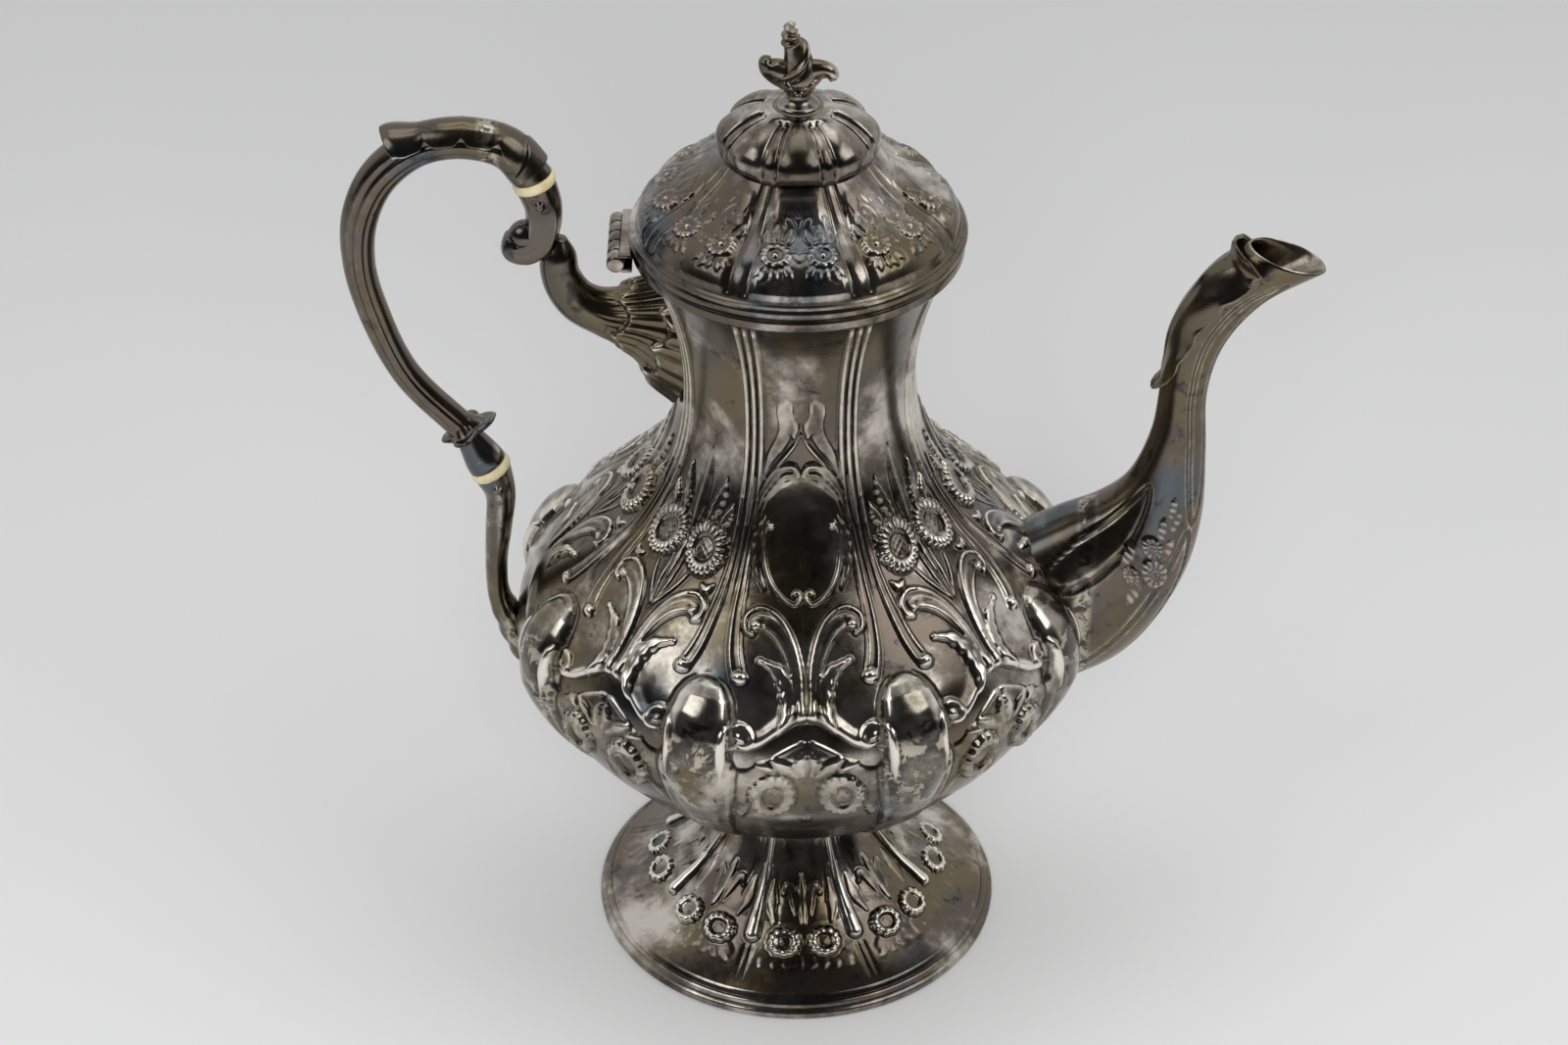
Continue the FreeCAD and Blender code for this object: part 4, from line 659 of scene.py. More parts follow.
def make_foot():
    """The foot: twin engraved lines and teardrop ribs on the lobes' edges, daisies under smooth
    plumes in the lobes, over a plain apron."""
    lobe = Lobe(FOOT, [((5.5, 9), 22), ((9, 27), 84), ((27, 43), 26)], 40)
    a, z = lobe.a, lobe.height
    lobe.broad += 0.5 * np.cos(np.radians(a) * LOBES / 2)**2 * ease(9, 13, z) * ease(34, 24, z)
    lobe.rib([(HALF_LOBE, level) for level in (38, 30, 20, 16, 13)], [0.35, 0.5, 0.9, 1.6, 2.1], 1.7)
    lobe.line([(HALF_LOBE - 1.2, 11.4), (HALF_LOBE - 1.2, 8), (HALF_LOBE - 1.1, 5.9)], 0.4, 0.42)
    lobe.line([(HALF_LOBE - 3.2, 42), (HALF_LOBE - 3, 34), (HALF_LOBE - 2.6, 26)], 0.25, 0.35)
    lobe.rib([(13.4, 15.5), (16, 18.6), (16.4, 23)], [0.5, 1.6, 0.4], 0.4, 0.2)
    lobe.rib([(0, 15.5), (0, 19.5), (0, 25)], [0.7, 1.7, 0.4], 0.55)
    lobe.rib([(3.4, 16.8), (4.6, 20.4), (8, 22.2), (10.2, 20.6)], [0.4, 1.2, 1.3, 0.6], 0.45, 0.2)
    lobe.line([(9.8, 20.4), (12.6, 24), (13.6, 28), (12.4, 32)], 0.2, 0.3)
    lobe.line([(11.4, 18.6), (14.4, 24), (15.6, 29), (15, 34)], 0.2, 0.3)
    for start, end in ((3.8, 1.6), (7.2, 6.6), (10.8, 11.4), (14, 16.4)):
        lobe.leaf([(start, 10.1), (0.4 * start + 0.6 * end, 9.3), (end, 8.6)], [1.8, 2, 0.7], 0.2, 3, 0)
    lobe.daisy(8.4, 12.3, across=4.9, along=4.4, rise=1.6, lean=0, petals=12)
    azimuth, heights = ringed([lobe] * LOBES, 3)
    heights = blurred(heights, 2)
    wear = worn(heights, 0.8, 40)
    shell(lobe, azimuth, heights, wear, (0, len(lobe.s) - 1), BODY_WALL, "domed_foot", "pot", "foot")


def make_lid():
    """The dome: a bordered ribbon on each lobe edge, and a pair of daisies with a leaf fringe and
    scrolls between. The crown: melon lobes between twin-grooved ribs."""
    lobe = Lobe(DOME, [((217.4, 221), 14), ((221, 232), 60), ((232, 237), 14)], 44)
    a, z, radius = lobe.a, lobe.height, lobe.radius
    ribbon = np.radians(HALF_LOBE - a) * radius
    half = np.interp(z, [217.4, 226, 234, 237], [2.3, 2.2, 1.5, 1.3])
    start = ease(218, 219.2, z)
    lobe.broad += 0.45 * ease(0.4, 2.5, ribbon - half) * ease(218, 220, z) * ease(236.5, 234, z)
    for spot, depth in ((half, 0.45), (half - 0.9, 0.12)):
        lobe.fine -= depth * bump(ribbon, spot, 0.42) * start
    for line in ([(10.2, 224.2), (10, 223.2), (9.5, 222.4)], [(5.6, 224.6), (3.8, 223.6), (2.6, 222.8)],
            [(14.4, 224.6), (16.2, 223.6), (17, 222.8)], [(3.2, 226.4), (1.4, 226.2), (0.2, 225.5)],
            [(5.4, 227.8), (4, 228.7), (3.6, 229.8)], [(10.6, 228.2), (11.4, 229.3), (10.8, 230.4)],
            [(14.8, 227.8), (16.2, 228.5), (16.4, 229.6)], [(7.6, 224.2), (7, 223), (6.2, 222.2)],
            [(12.8, 224.2), (13.6, 223), (14, 222.2)]):
        lobe.leaf(line, [0.7, 1.2, 0.2], 0.24, 3, 0.2)
    lobe.line([(0.3, 228.4), (1.6, 230.6), (4.8, 231.8), (7.8, 231.4), (7.4, 230.5), (6, 230.6)], 0.2, 0.26)
    lobe.line([(17.4, 226.6), (18.2, 229.4), (16.4, 231.8), (13.2, 232), (13.2, 231)], 0.2, 0.26)
    lobe.line([(0.4, 231.8), (3, 233), (6.6, 233)], 0.18, 0.26)
    lobe.daisy(10.2, 226.2, across=4.1, along=3.7, rise=0.6, lean=0, petals=12)
    lobe.dome(10.2, 226.2, 1, 1, 0.7)
    azimuth, heights = ringed([lobe] * LOBES, 0.2)
    heights = blurred(heights, 1)
    wear = worn(heights, 1.1)
    shell(lobe, azimuth, heights, wear, (0, len(lobe.s) - 1), LID_WALL, "lid_dome", "lid", "lid_shell")

    melon = Lobe(CROWN, [((237, 249.6), 60), ((249.6, 249.8), 6)], 30)
    edge = np.radians(HALF_LOBE - melon.a) * melon.radius
    strip = np.interp(melon.radius, [5, 12, 20], [0.7, 1.2, 1.75])
    fade = ease(0, 4, melon.along) * ease(0, 1.5, CROWN.length_at(249.55) - melon.along)
    swell = np.clip((edge - strip) / (np.radians(HALF_LOBE) * melon.radius - strip + 1e-6), 0, 1)
    rib = 0.5 * arch(edge / strip)
    melon.broad += (-1.5 + 1.5 * arch(1 - swell) + rib) * fade
    melon.fine -= 0.45 * bump(edge, strip, 0.3) * fade
    azimuth, heights = ringed([melon] * LOBES, 0.2)
    wear = worn(heights, 1.2) - 0.6 * ease(7, 5.6, np.interp(melon.s, CROWN.s, CROWN.r))[:, None]
    shell(melon, azimuth, heights, wear, (0, len(melon.s) - 1), LID_WALL, "lid_melon", "lid", "lid_crown")


# Cast pieces

def ovals(rows, share, angle):
    """Points on ovals carried along a line in the middle plane, at shares of the line's length and
    angles round the oval. Each row is a middle x and z, half the depth, half the width and the turn
    of the depth from +X, square to the line where none is given; every value is a cubic."""
    rows = [list(row) for row in rows]
    for index, row in enumerate(rows):
        before, after = rows[max(index - 1, 0)], rows[min(index + 1, len(rows) - 1)]
        if len(row) < 5:
            row.append(math.degrees(math.atan2(after[1] - before[1], after[0] - before[0])) - 90)
        if index:
            row[4] = rows[index - 1][4] + (row[4] - rows[index - 1][4] + 180) % 360 - 180
    x, z, depth, width, turn = smooth_line(rows, share).T[:, :, None]
    lift, turn = depth * np.cos(np.radians(angle)), np.radians(turn)
    across = width * np.sin(np.radians(angle))
    return np.stack([x + lift * np.cos(turn), across, z + lift * np.sin(turn)], -1)


def sweep(rows, along, columns, start=0, end=1):
    """A tube of ovals, with the share of the line and the angle at each of its points."""
    share = np.linspace(start, end, along)
    angle = np.arange(columns)[None, :] * (360 / columns) + np.zeros((along, 1))
    return ovals(rows, share, angle), share[:, None] + 0 * angle, (angle + 180) % 360 - 180


def lifted(points, heights):
    """A grid moved out along its own normals."""
    return points + grid_normals(points) * heights[..., None]


def draped(rows, middle, start, end, edge, lift, thickness, along=200, across=61):
    """A leaf laid on a tube: it spans edge(share) degrees each side of the middle angle, and its two
    faces stand lift(share, side) and a thickness less above the tube, so that its columns close."""
    share = np.linspace(0, 1, along)
    there_and_back = np.concatenate([np.linspace(-1, 1, across), np.linspace(1, -1, across)])
    side = there_and_back + np.zeros((along, 1))
    spot = share[:, None] + 0 * side
    angle = middle + side * edge(spot)
    points = ovals(rows, start + (end - start) * share, angle)
    other = ovals(rows, start + (end - start) * share, angle + 0.5)
    step = np.gradient(points, axis=0)
    normal = np.cross(other - points, step)
    normal /= np.linalg.norm(normal, axis=-1, keepdims=True)
    upper = np.arange(2 * across)[None, :] < across
    rise = lift(spot, side)
    heights = np.where(upper, rise, rise - thickness)
    return points + normal * heights[..., None], np.where(upper, rise, 0)


def outside_body(points, sink=0.5):
    """Points that lie inside the body are brought out to just under its surface."""
    radius = np.hypot(points[..., 0], points[..., 1])
    wall = np.interp(points[..., 2], BODY.z, BODY.r) - sink
    scale = np.maximum(1, wall / np.maximum(radius, 1e-6))
    return points * np.stack([scale, scale, np.ones_like(scale)], -1)


def leaned(points, axis):
    """Points about the upright axis moved to an insulator's axis, given as its x, z and lean."""
    x, y, z = np.moveaxis(points, -1, 0)
    lean = math.radians(axis[2])
    return grid(axis[0] + x * math.cos(lean) - z * math.sin(lean), y,
        axis[1] + x * math.sin(lean) + z * math.cos(lean))


def spun(profile, columns):
    """A profile of (radius, height) turned about the upright axis."""
    line = np.array(profile, float)
    return rings(line[:, :1], around(columns), line[:, 1:])


SPOUT_ROWS = [(57.5, 97, 25, 16, -82), (78.6, 108, 23.6, 14.6, -66), (89.5, 120.2, 17.6, 12.2, -50),
    (95.6, 134.3, 11.6, 9.4, -29), (98.4, 152, 7.4, 7, -18), (98.9, 168.8, 5.9, 6, -10),
    (101.3, 183, 6.9, 6.2, -13), (109.5, 197.3, 8.6, 7, -17), (122, 206.7, 10.4, 7.6, -18)]


def make_spout():
    """The spout: engraved double lines round long drop panels, a raised daisy spray on each cheek and
    an open mouth, with a leaf along its upper side that curls back at the top."""
    points, t, angle = sweep(SPOUT_ROWS, 360, 200)
    side = np.abs(angle)
    heights = np.zeros(points.shape[:2])

    def outline(start, end, first, last, half):
        """A double engraved line round a drop: its half angle falls off to the ends as an oval."""
        way = (t - start) / (end - start)
        reach = half * arch(np.abs(2 * way - 1), 2.4)
        girth = np.interp(t, [0, 0.2, 0.4, 0.6, 1], [0.36, 0.33, 0.2, 0.11, 0.15])
        room = (reach - np.abs(side - first - (last - first) * way)) * girth
        room = np.minimum(room, np.minimum(way, 1 - way) * 75)
        for gap in (0, 1):
            heights[...] -= 0.4 * bump(room, gap, 0.36) * (np.abs(way - 0.5) < 0.52)

    outline(0.40, 0.96, 46, 64, 28)
    outline(0.05, 0.39, 36, 50, 17)
    outline(0.07, 0.44, 124, 130, 18)
    heights += 0.5 * bump(side, 180, 14) * ease(0.3, 0.45, t)
    for spot, middle, size in ((0.30, 74, 1.1), (0.335, 90, 0.9), (0.265, 92, 0.7)):
        u, v = (side - middle) * 0.22 / size, (t - spot) * 150 / size
        q, turn = np.hypot(u, v), np.arctan2(v, u)
        petals = 0.62 * (0.75 + 0.25 * np.cos(turn * 11)) * ease(3.6, 2.8, q)
        flower = np.where(q < 1.5, 0.55 + 0.2 * np.cos(q * 8), petals)
        heights = np.where(q < 3.6, np.maximum(heights, flower * size), heights)
    for spot, middle, lean in ((0.375, 88, 3), (0.40, 76, -3), (0.25, 80, 4), (0.29, 106, 5),
            (0.345, 74, -4), (0.42, 84, 2)):
        u, v = (side - middle) * 0.22 - (t - spot) * lean * 6, (t - spot) * 150
        blade = 0.4 * np.sqrt(np.clip(1 - (u / 1.6)**2 - (v / 4)**2, 0, 1)) * (0.85 + 0.15 * np.cos(v * 3))
        heights = np.where(blade > 0, np.maximum(heights, blade), heights)
    wear = np.minimum(worn(heights, 2), 0.72)
    points = outside_body(lifted(points, heights))
    inner_rows = [(x, z, depth - 1, width - 1, turn) for x, z, depth, width, turn in SPOUT_ROWS]
    bore, _, _ = sweep(inner_rows, 40, 200, 1, 0.4)
    lip = (points[-1] + bore[0]) / 2 + np.array([0.15, 0, 0.35])
    wear = np.concatenate([wear, np.full((1, 200), 0.75)])
    tube = Piece().add(np.concatenate([points, lip[None]]), wear, caps=(True, False))
    tube.add(np.concatenate([lip[None], bore]), np.linspace(0.68, 0.25, 41)[:, None], caps=(False, True))
    tube.make("spout_tube", "pot", "spout", DARK_SILVER)

    def edge(t):
        """Half the leaf's spread along it, drawn in a little by waves."""
        waves = 1 - 0.1 * (0.5 + 0.5 * np.cos(2 * math.pi * t * 4.5))**2
        half = np.interp(t, [0, 0.06, 0.2, 0.4, 0.65, 0.85, 0.95, 1], [10, 32, 62, 78, 86, 86, 74, 40])
        return half * waves

    def lift(t, side):
        """A rib down the middle, slanting folds, a stippled face, a thick edge and curled ends."""
        size = np.abs(side)
        stipple = 0.05 * np.sin(t * 330 + side * 9) * np.sin(side * 60 - t * 40) * ease(0.1, 0.25, size)
        folds = 0.22 * np.cos(2 * math.pi * (t * 2.5 - 0.8 * size)) * ease(0, 0.15, t) * ease(1, 0.85, t)
        curl = 2.8 * ease(0.88, 1, t)**2 * (1 - 0.35 * size) + 1.9 * ease(0.1, 0, t)
        return 0.75 + 0.3 * bump(side, 0, 0.08) + folds + stipple + curl + 0.25 * bump(size, 0.94, 0.06)

    leaf, rise = draped(SPOUT_ROWS, 180, 0.645, 0.985, edge, lift, 1.1)
    acanthus = Piece().add(leaf, np.minimum(worn(rise, 1.4) - 0.1, 0.6), caps=BOTH_ENDS)
    acanthus.make("spout_acanthus", "pot", "spout_leaf", DARK_SILVER)


def ring_row(ring, along, radius, turned=0):
    """A round section square to an insulator's axis, at a distance along it from its middle."""
    angle = math.radians(ring[2])
    return [ring[0] - math.sin(angle) * along, ring[1] + math.cos(angle) * along, radius, radius,
        ring[2] + turned]


UPPER_RING = (-64.9, 228.4, 18.6)
LOWER_RING = (-79.6, 143, 27.2)
GRIP_ROWS = [ring_row(UPPER_RING, 1.35, 5.1), (-71.5, 237.3, 5, 4.9), (-81, 240, 4.9, 4.8),
    (-92, 238.4, 4.9, 4.7), (-102.4, 230.5, 4.9, 4.6), (-108.6, 217.5, 4.6, 4.5), (-109.5, 205, 4.1, 4.4),
    (-106.3, 189, 3.9, 4.3), (-99.8, 172.5, 3.6, 4.2), ring_row(LOWER_RING, 13.9, 3.9, 180)]


def make_grip():
    """The grip: a bar with two reeds parted by a grooved ridge on each side, a leaf over its arch, and
    a collar of curled lobes above a smooth baluster at its foot."""
    points, t, angle = sweep(GRIP_ROWS, 280, 96)
    side = np.abs(angle)
    reeds = ease(0.04, 0.12, t) * ease(1, 0.95, t)
    heights = (-0.6 * bump(side, 72, 9) - 0.35 * bump(side, 118, 6)) * reeds
    bar = Piece().tube(lifted(points, heights), heights, 0.8)

    # The collar: a skirt whose radius grows as a power of the way down, fuller on four lobes.
    down = np.linspace(0, 1, 40)[:, None]
    turn = around(160)
    lobes = (0.62 + 0.38 * np.cos(2 * turn)**2) * (1 + 0.22 * np.sin(turn))
    radius = 2.4 + 5.8 * down**2.0 * lobes
    rise = 19.4 - 6.6 * down - 1.6 * down**4 * lobes + 2.2 * ease(0.72, 1, down) * lobes
    crease = 0.5 * np.abs(np.sin(2 * turn))**8 * ease(0.3, 0.9, down)
    skirt = rings(radius, turn, rise) - crease[..., None] * rings(1, turn, 0)
    under = rings(radius[-1:] - 1, turn, rise[-1:] - 0.9)
    core = rings(3.2, turn, 12.2)
    bar.add(leaned(np.concatenate([skirt, under, core]), LOWER_RING)[::-1], 0.55)
    baluster = [(5.1, 1.36), (5.2, 2.2), (5, 4.2), (4.5, 6.6), (3.9, 9.2), (3.5, 11.2), (3.3, 12.6),
        (2, 13.6)]
    bar.add(leaned(spun(baluster, 96), LOWER_RING), 0.45, caps=BOTH_ENDS)
    bar.make("grip_bar", "pot", "handle_grip", DARK_SILVER)

    def edge(t):
        """Half the leaf's spread along it, cut into scallops past its first bract."""
        wave = 2 * math.pi * (t * 4.2 - 0.25)
        notches = 0.26 * (0.5 + 0.5 * np.cos(wave + 0.7 * np.sin(wave)))**2
        half = np.interp(t, [0, 0.06, 0.12, 0.17, 0.25, 0.7, 0.92, 1], [98, 104, 84, 92, 80, 82, 76, 66])
        return half * (1 - notches * ease(0.14, 0.26, t) * ease(1, 0.94, t))

    def lift(t, side):
        """Puffed scallops, bracts laid over the root, two creases and a tip that flicks up."""
        size = np.abs(side)
        creases = 0.14 * bump(size, 0.3, 0.07) * ease(0.2, 0.4, t)
        puff = 0.3 * np.abs(np.sin(math.pi * (t * 4.2 - 0.25))) * ease(0.5, 0.95, size)
        bracts = 0.45 * ease(0, 0.03, 0.19 - 0.12 * size - t)
        flick = 3.6 * ease(0.72, 1, t)**2 * (1 - 0.4 * size)
        return 0.8 + puff + bracts + flick - creases

    leaf, rise = draped(GRIP_ROWS, 0, 0.02, 0.285, edge, lift, 1.2)
    Piece().tube(leaf, rise, 0.5, 0.08).make("grip_leaf", "pot", "handle_leaf", DARK_SILVER)


def make_bracket():
    """The bracket on the neck: tiers of feathered leaf lobes that gather into a round arm, and the
    comma scroll that hangs from the upper insulator and meets the arm's end."""
    points, t, angle = sweep([(-25, 185, 21, 11), (-33, 187.6, 16, 9.6), (-40.5, 189.6, 9.6, 7.6),
        (-48.5, 190.6, 6.6, 5.8), (-55.4, 194.2, 5.6, 5), (-59.2, 201, 5, 4.6), (-59.6, 208.6, 4, 4),
        (-59.2, 212.2, 1.8, 1.8)], 220, 176)
    flutes = np.abs(np.cos(np.radians(angle) * 13))**0.7 - 0.5
    heights = 0.6 * flutes * ease(0.56, 0.3, t)
    for reach, lobes, rise in ((0.44, 5, 1.1), (0.24, 9, 1.1)):
        way = reach - 0.07 * np.abs(np.cos(np.radians(angle) * lobes / 2)) - t
        heights += rise * ease(0, 0.025, way) * (1 - 0.7 * ease(0.02, 0.2, way))
    arm = Piece().tube(outside_body(lifted(points, heights)), heights, dull=0.08)
    scroll, t, angle = sweep([ring_row(UPPER_RING, -1.35, 5.1, 180), (-62.9, 221, 4.7, 4.7),
        (-63.2, 215.6, 4.4, 4.7), (-64.7, 211.2, 4, 4.8), (-68, 209.2, 3.8, 4.8), (-71, 210.5, 3.5, 4.4),
        (-70.8, 212.8, 2.2, 3.2)], 220, 96)
    side = np.abs(angle)
    grooves = 0.35 * bump(np.abs(side - 90), 44, 9) - 0.9 * bump(side, 90, 30)
    heights = grooves * ease(0.12, 0.35, t) * ease(1, 0.85, t)
    arm.tube(lifted(scroll, heights), heights)
    # The comma's sunk middle: an oval lens across the pot that closes the curl.
    lean, turn = np.radians(np.linspace(-80, 80, 20))[:, None], around(48)
    lens = grid(-67.6 + 4.4 * np.cos(lean) * np.sin(turn), 3.9 * np.sin(lean),
        213.0 + 4.0 * np.cos(lean) * np.cos(turn))
    arm.add(lens, 0.36, caps=BOTH_ENDS)
    arm.make("neck_bracket", "pot", "upper_socket", DARK_SILVER)

    rows = [ring_row(LOWER_RING, -1.35, 5.1, 180), (-77.4, 135, 4, 4), (-78.2, 125, 3.5, 3.8),
        (-79.4, 112, 2.9, 4), (-79, 102, 3, 4.6), (-76.2, 94, 3.8, 5), (-72.6, 85, 4, 4.4),
        (-66.6, 75.5, 3.6, 3), (-60.4, 68.2, 2, 1.2)]
    points, t, angle = sweep(rows, 240, 80)
    side = np.abs(angle)
    ripples = 0.3 * np.cos(t * 70 - 2 * np.abs(np.sin(np.radians(angle)))) * ease(0.5, 0.6, t)
    heights = -0.4 * bump(np.abs(side - 90), 30, 8) * ease(0.35, 0.5, t) + ripples
    tail = Piece().tube(outside_body(lifted(points, heights)), heights)
    tail.make("tail_strap", "pot", "lower_socket", SILVER)


def make_finial():
    """The finial: a moulded disc and stem, a leaf cup with a pointed front, two curled lobes, and a
    leaning shell wound with a helical ridge that ends in a stack of small turns."""
    piece = Piece().add(spun([(1.5, 249), (5.4, 249.3), (5.4, 250.1), (5, 250.6), (4.2, 250.9),
        (3.4, 251.3), (3, 252.2), (2.9, 253.4), (3.1, 254.6)], 96), 0.2, caps=BOTH_ENDS)
    up = np.linspace(0, 1, 40)[:, None]
    turn = around(128)
    point = np.maximum(bump((turn + math.pi) % (2 * math.pi) - math.pi, 0, 0.55), bump(turn, math.pi, 0.55))
    radius = 2.5 + (2.3 + 0.5 * np.cos(2 * turn + math.pi)) * up**0.8 + 0.8 * point * ease(0.5, 1, up)
    radius = radius + 0.2 * np.cos(turn * 16) * ease(0.1, 0.5, up)
    rise = 252.4 + 5.0 * up - 2.8 * point * ease(0.45, 1, up)
    cup = rings(radius, turn, rise)
    brim, middle = (cup[-1:] * [size, size, 1] + [0, 0, lift] for size, lift in ((0.75, 0.4), (0.2, 0.8)))
    piece.add(np.concatenate([cup, brim, middle]), 0.6, caps=BOTH_ENDS)
    for rows in ([(-0.6, 256.8, 3.8, 2.8), (-3.4, 258, 3.7, 2.9), (-5.8, 259.2, 3.2, 2.8),
            (-7.4, 260.5, 2.4, 2.5), (-7.4, 261.9, 1.7, 1.9), (-6.6, 262.1, 0.7, 1.1)],
            [(1.2, 257.4, 3.9, 2.8), (3.9, 258.8, 3.3, 2.5), (6, 259.2, 2.4, 2.2), (7.7, 258.6, 1.9, 2),
            (8.2, 257.3, 1.5, 1.6), (7.6, 256.6, 0.7, 1)]):
        points, t, angle = sweep(rows, 80, 56)
        dent = -60 if rows[0][0] > 0 else -120
        heights = -0.35 * bump(angle, dent, 36) * ease(0.9, 0.6, t) * ease(0.1, 0.35, t)
        piece.tube(lifted(points, heights), heights)
    points, t, angle = sweep([(0, 253.2, 3.1, 3.1), (0.2, 257, 4.3, 4.1), (0.1, 260.5, 3.8, 3.7),
        (-0.5, 263.8, 3.1, 3.1), (-1.2, 266, 2.5, 2.5), (-1.9, 267.7, 2.1, 2.1), (-2, 269.6, 1.6, 1.6),
        (-1.9, 271.2, 1.1, 1.1), (-1.85, 272.2, 0.35, 0.35)], 260, 96)
    helix = (angle - 390 * t + 426) % 360 - 180
    heights = (0.85 * bump(helix, 0, 17) - 0.5 * bump(helix, 36, 18)) * ease(0.76, 0.62, t)
    heights += ease(0.68, 0.74, t) * 0.4 * np.cos(t * 66 + np.radians(angle) - 1.2) * ease(1, 0.97, t)
    piece.tube(lifted(points, heights), heights, 1.2)
    piece.make("shell_finial", "lid", "finial", SILVER)


# The hinge: its axis, the step from knuckle to knuckle, a knuckle's (radius, place along it), the
# plates' (place along them, share of their thickness), and each leaf's piece, knuckles and level.
HINGE_X, HINGE_Z = -45, 211
KNUCKLE_PITCH = 4.6
KNUCKLE = [(0.9, 0.16), (1.7, 0.16), (2.08, 0.3), (2.24, 0.6), (2.24, 4), (2.08, 4.3), (1.7, 4.44),
    (0.9, 4.44)]
PLATE = [(-11.3, 0.7), (-11.2, 0.9), (-11, 1), (11, 1), (11.2, 0.9), (11.3, 0.7)]
HINGE_LEAVES = [("neck_knuckles", "pot", "hinge_body_leaf", (0, 2, 4), 209.4),
    ("lid_knuckles", "lid", "hinge_lid_leaf", (1, 3), 213.4)]


def make_hinge():
    """The hinge: five round-ended knuckles in a row across the pot, the odd ones on a thin plate from
    the neck's rim and the even ones on a plate from the lid's."""
    turn = around(48)
    across, up = (np.sign(wave) * np.abs(wave)**0.4 for wave in (np.cos(turn), np.sin(turn)))
    radius, along = np.array(KNUCKLE).T[..., None]
    reach, size = np.array(PLATE).T[..., None]
    for name, body, node_name, own, middle in HINGE_LEAVES:
        piece = Piece()
        for index in own:
            start = KNUCKLE_PITCH * index - 11.5
            knuckle = grid(HINGE_X + radius * np.cos(turn), start + along, HINGE_Z + radius * np.sin(turn))
            piece.add(knuckle[::-1], 0.45, caps=BOTH_ENDS)
        plate = grid(-42.4 + 1.5 * across, reach, middle + 0.5 * size * up)
        piece.add(plate[::-1], 0.3, caps=BOTH_ENDS).make(name, body, node_name, SILVER)


def make_rims():
    """The moulded wires: a stepped band with a bead under the foot, a cove under the neck's mouth and
    a rounded wire on the lid's edge. Each corner of a profile is cut by a short step."""
    foot = [(49.2, 0), (54.4, 0), (54.9, 0.4), (54.98, 1.4), (54.7, 2.2), (54, 2.6), (53.5, 2.7),
        (53.45, 3), (53.3, 3.7), (52.8, 4.1), (52.3, 3.9), (52, 3.95), (51.6, 4.7), (51, 5.5), (49.4, 5.5),
        (49.2, 0.6)]
    neck = [(35.9, 208.5), (37.6, 208.5), (38.6, 208.8), (39.8, 209.3), (40.6, 209.9), (41.2, 210.2),
        (41.55, 210.8), (41.55, 212.6), (41.3, 213.2), (40.8, 213.5), (35.9, 213.5), (35.9, 209)]
    lid = [(35.6, 213.65), (41.2, 213.65), (41.8, 214.1), (42.15, 214.9), (42.1, 215.8), (41.6, 216.6),
        (41.1, 216.85), (40.8, 216.75), (40.5, 217), (40.3, 217.4), (35.6, 217.4), (35.6, 214)]
    for profile, name, body, node_name in ((foot, "foot_band", "pot", "foot_rim"),
            (neck, "neck_moulding", "pot", "neck_rim"), (lid, "lid_wire", "lid", "lid_rim")):
        line = np.array(profile)
        steps = np.diff(line, axis=0)
        fine = np.stack([line[:-1] + steps * share for share in (0.04, 0.96)], 1).reshape(-1, 2)
        Piece().add(spun(fine, 360), 0.5, closed_rows=True).make(name, body, node_name, SILVER)


make_body()
make_foot()
make_lid()
make_spout()
make_grip()
make_bracket()
make_finial()
make_hinge()
make_rims()

# Solids that no piece stands for are seen as they are, and all of them take a finish.
for name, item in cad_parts.items():
    item.data.materials.clear()
    item.data.materials.append(IVORY if name.endswith("insulator") else PLAIN_SILVER)


# Floor, light and camera

def make_stage():
    """A flat pale floor: a grid of level points about the pot, 3 metres each way."""
    steps = np.linspace(-3, 3, 25)
    points = grid(steps[None, :], steps[:, None], 0.0)
    index = np.arange(steps.size**2).reshape(steps.size, steps.size)
    quads = np.stack([index[:-1, :-1], index[:-1, 1:], index[1:, 1:], index[1:, :-1]], -1).reshape(-1, 4)
    mesh = bpy.data.meshes.new("floor")
    mesh.from_pydata(points.reshape(-1, 3).tolist(), [], quads.tolist())
    mesh.polygons.foreach_set("use_smooth", np.ones(len(quads), bool))
    floor = bpy.data.objects.new("floor", mesh)
    bpy.context.scene.collection.objects.link(floor)
    material, tree, shader = finish_of("pale_paper")
    set_inputs(tree, shader, base_color=colour(0.77, 0.77, 0.77), roughness=0.7)
    mesh.materials.append(material)


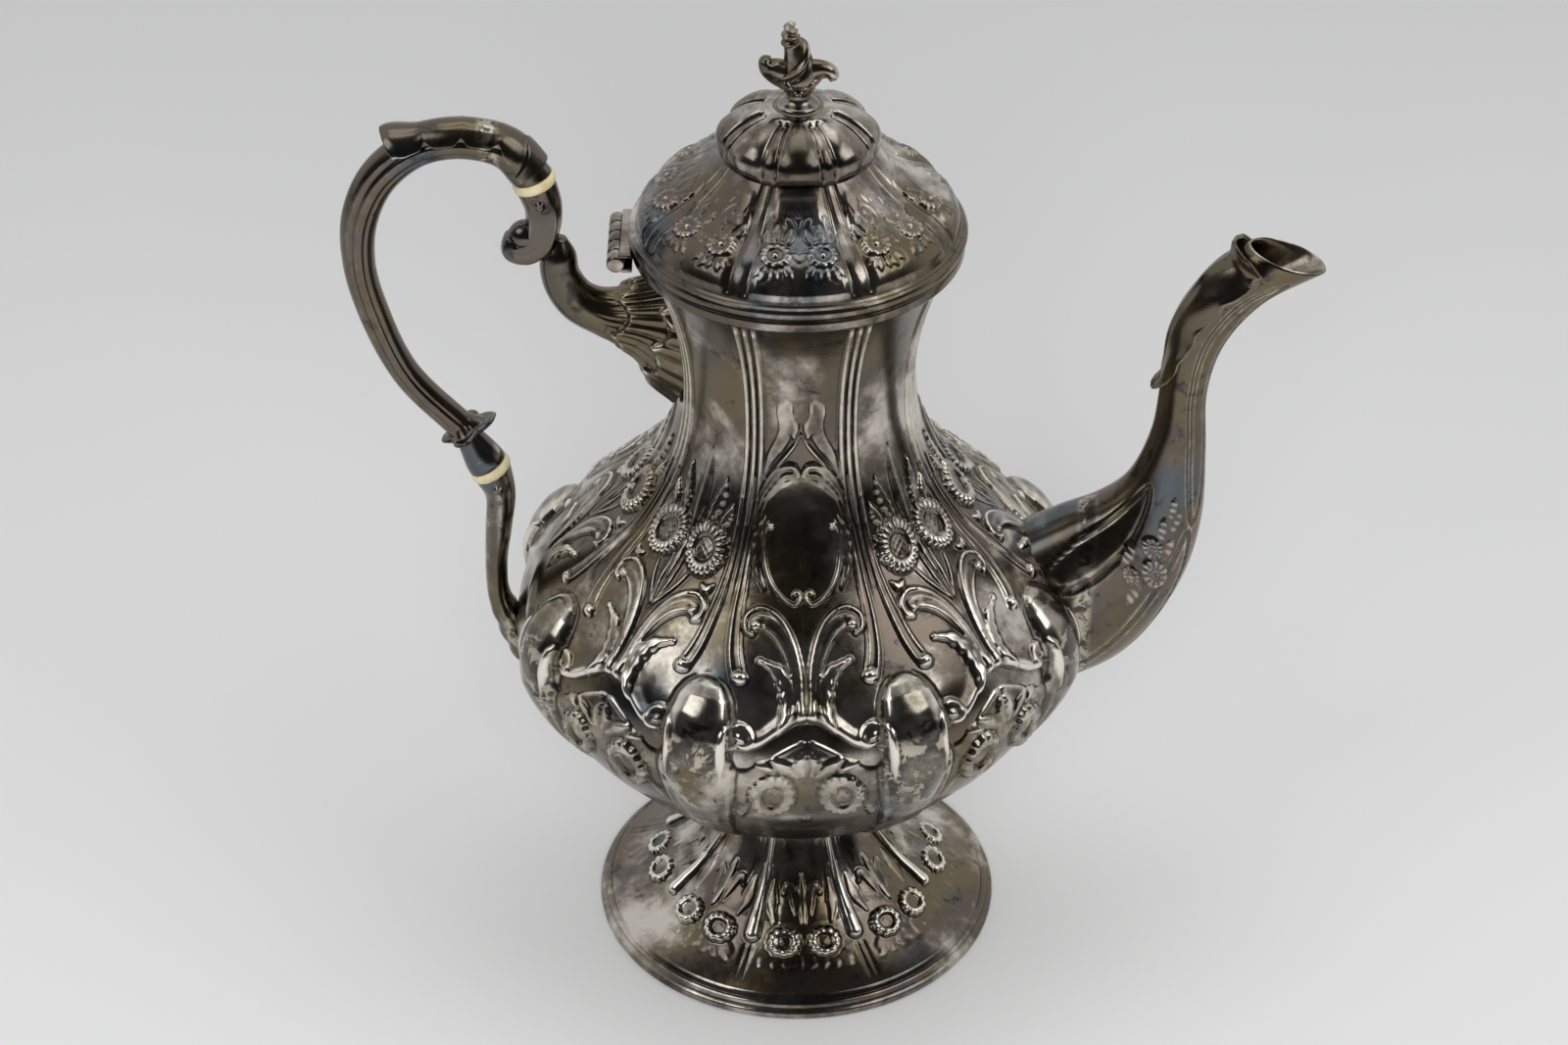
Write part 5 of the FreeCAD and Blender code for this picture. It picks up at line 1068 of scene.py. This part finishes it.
def lamp(name, place, aim, size, power):
    """A white panel lamp at a place, turned to a point that it aims at."""
    light = bpy.data.lights.new(name, "AREA")
    light.shape, light.energy = "RECTANGLE", power
    light.size, light.size_y = size
    item = bpy.data.objects.new(name, light)
    item.location = place
    direction = np.array(place, float) - np.array(aim, float)
    flat = math.hypot(direction[0], direction[1])
    item.rotation_euler = (math.atan2(flat, direction[2]), 0, math.atan2(direction[0], -direction[1]))
    bpy.context.scene.collection.objects.link(item)
    return item


def make_world():
    """A studio that is bright behind the pot and dim in front of it, by a smooth step along y. The
    camera itself sees an even pale grey."""
    world = bpy.data.worlds.new("studio")
    bpy.context.scene.world = world
    world.use_nodes = True
    tree = world.node_tree
    way = node(tree, "ShaderNodeTexCoord", {}, {}, 0)
    dim = coordinate(way, 1).span(0.1, -0.22)
    light = mixed(dim, colour(0.74, 0.74, 0.745), colour(0.04, 0.04, 0.042))
    seen = node(tree, "ShaderNodeLightPath", {}, {}, 0)
    light = mixed(seen, light, colour(0.62, 0.62, 0.62))
    tree.links.new(light.socket, tree.nodes["Background"].inputs[0])


make_stage()
make_world()
lamp("left", (-0.95, -0.55, 1.25), (0, 0, 0.12), (0.8, 0.8), 3.9)
lamp("right", (1.0, -0.45, 1.25), (0, 0, 0.12), (0.9, 0.9), 5.3)
lamp("top", (0.0, 0.1, 1.5), (0, 0, 0.1), (1.0, 0.7), 1.9)
lamp("front", (0, -0.95, 0.7), (0, -0.15, 0), (0.4, 0.3), 6.5).visible_glossy = False

# The camera fitted to the photograph, which looks down by an angle in radians.
LOOKING_DOWN = 0.6181
camera_data = bpy.data.cameras.new("camera")
camera_data.lens, camera_data.sensor_width, camera_data.sensor_fit = 55, 23.5, "HORIZONTAL"
camera_data.clip_start, camera_data.clip_end = 0.01, 50
camera = bpy.data.objects.new("camera", camera_data)
camera.location = (-0.0034746, -0.783738, 0.682685)
camera.rotation_mode = "XYZ"
camera.rotation_euler = (math.pi / 2 - LOOKING_DOWN, 0, 0)
bpy.context.scene.collection.objects.link(camera)
bpy.context.scene.camera = camera
bpy.context.scene.view_settings.view_transform = "Standard"
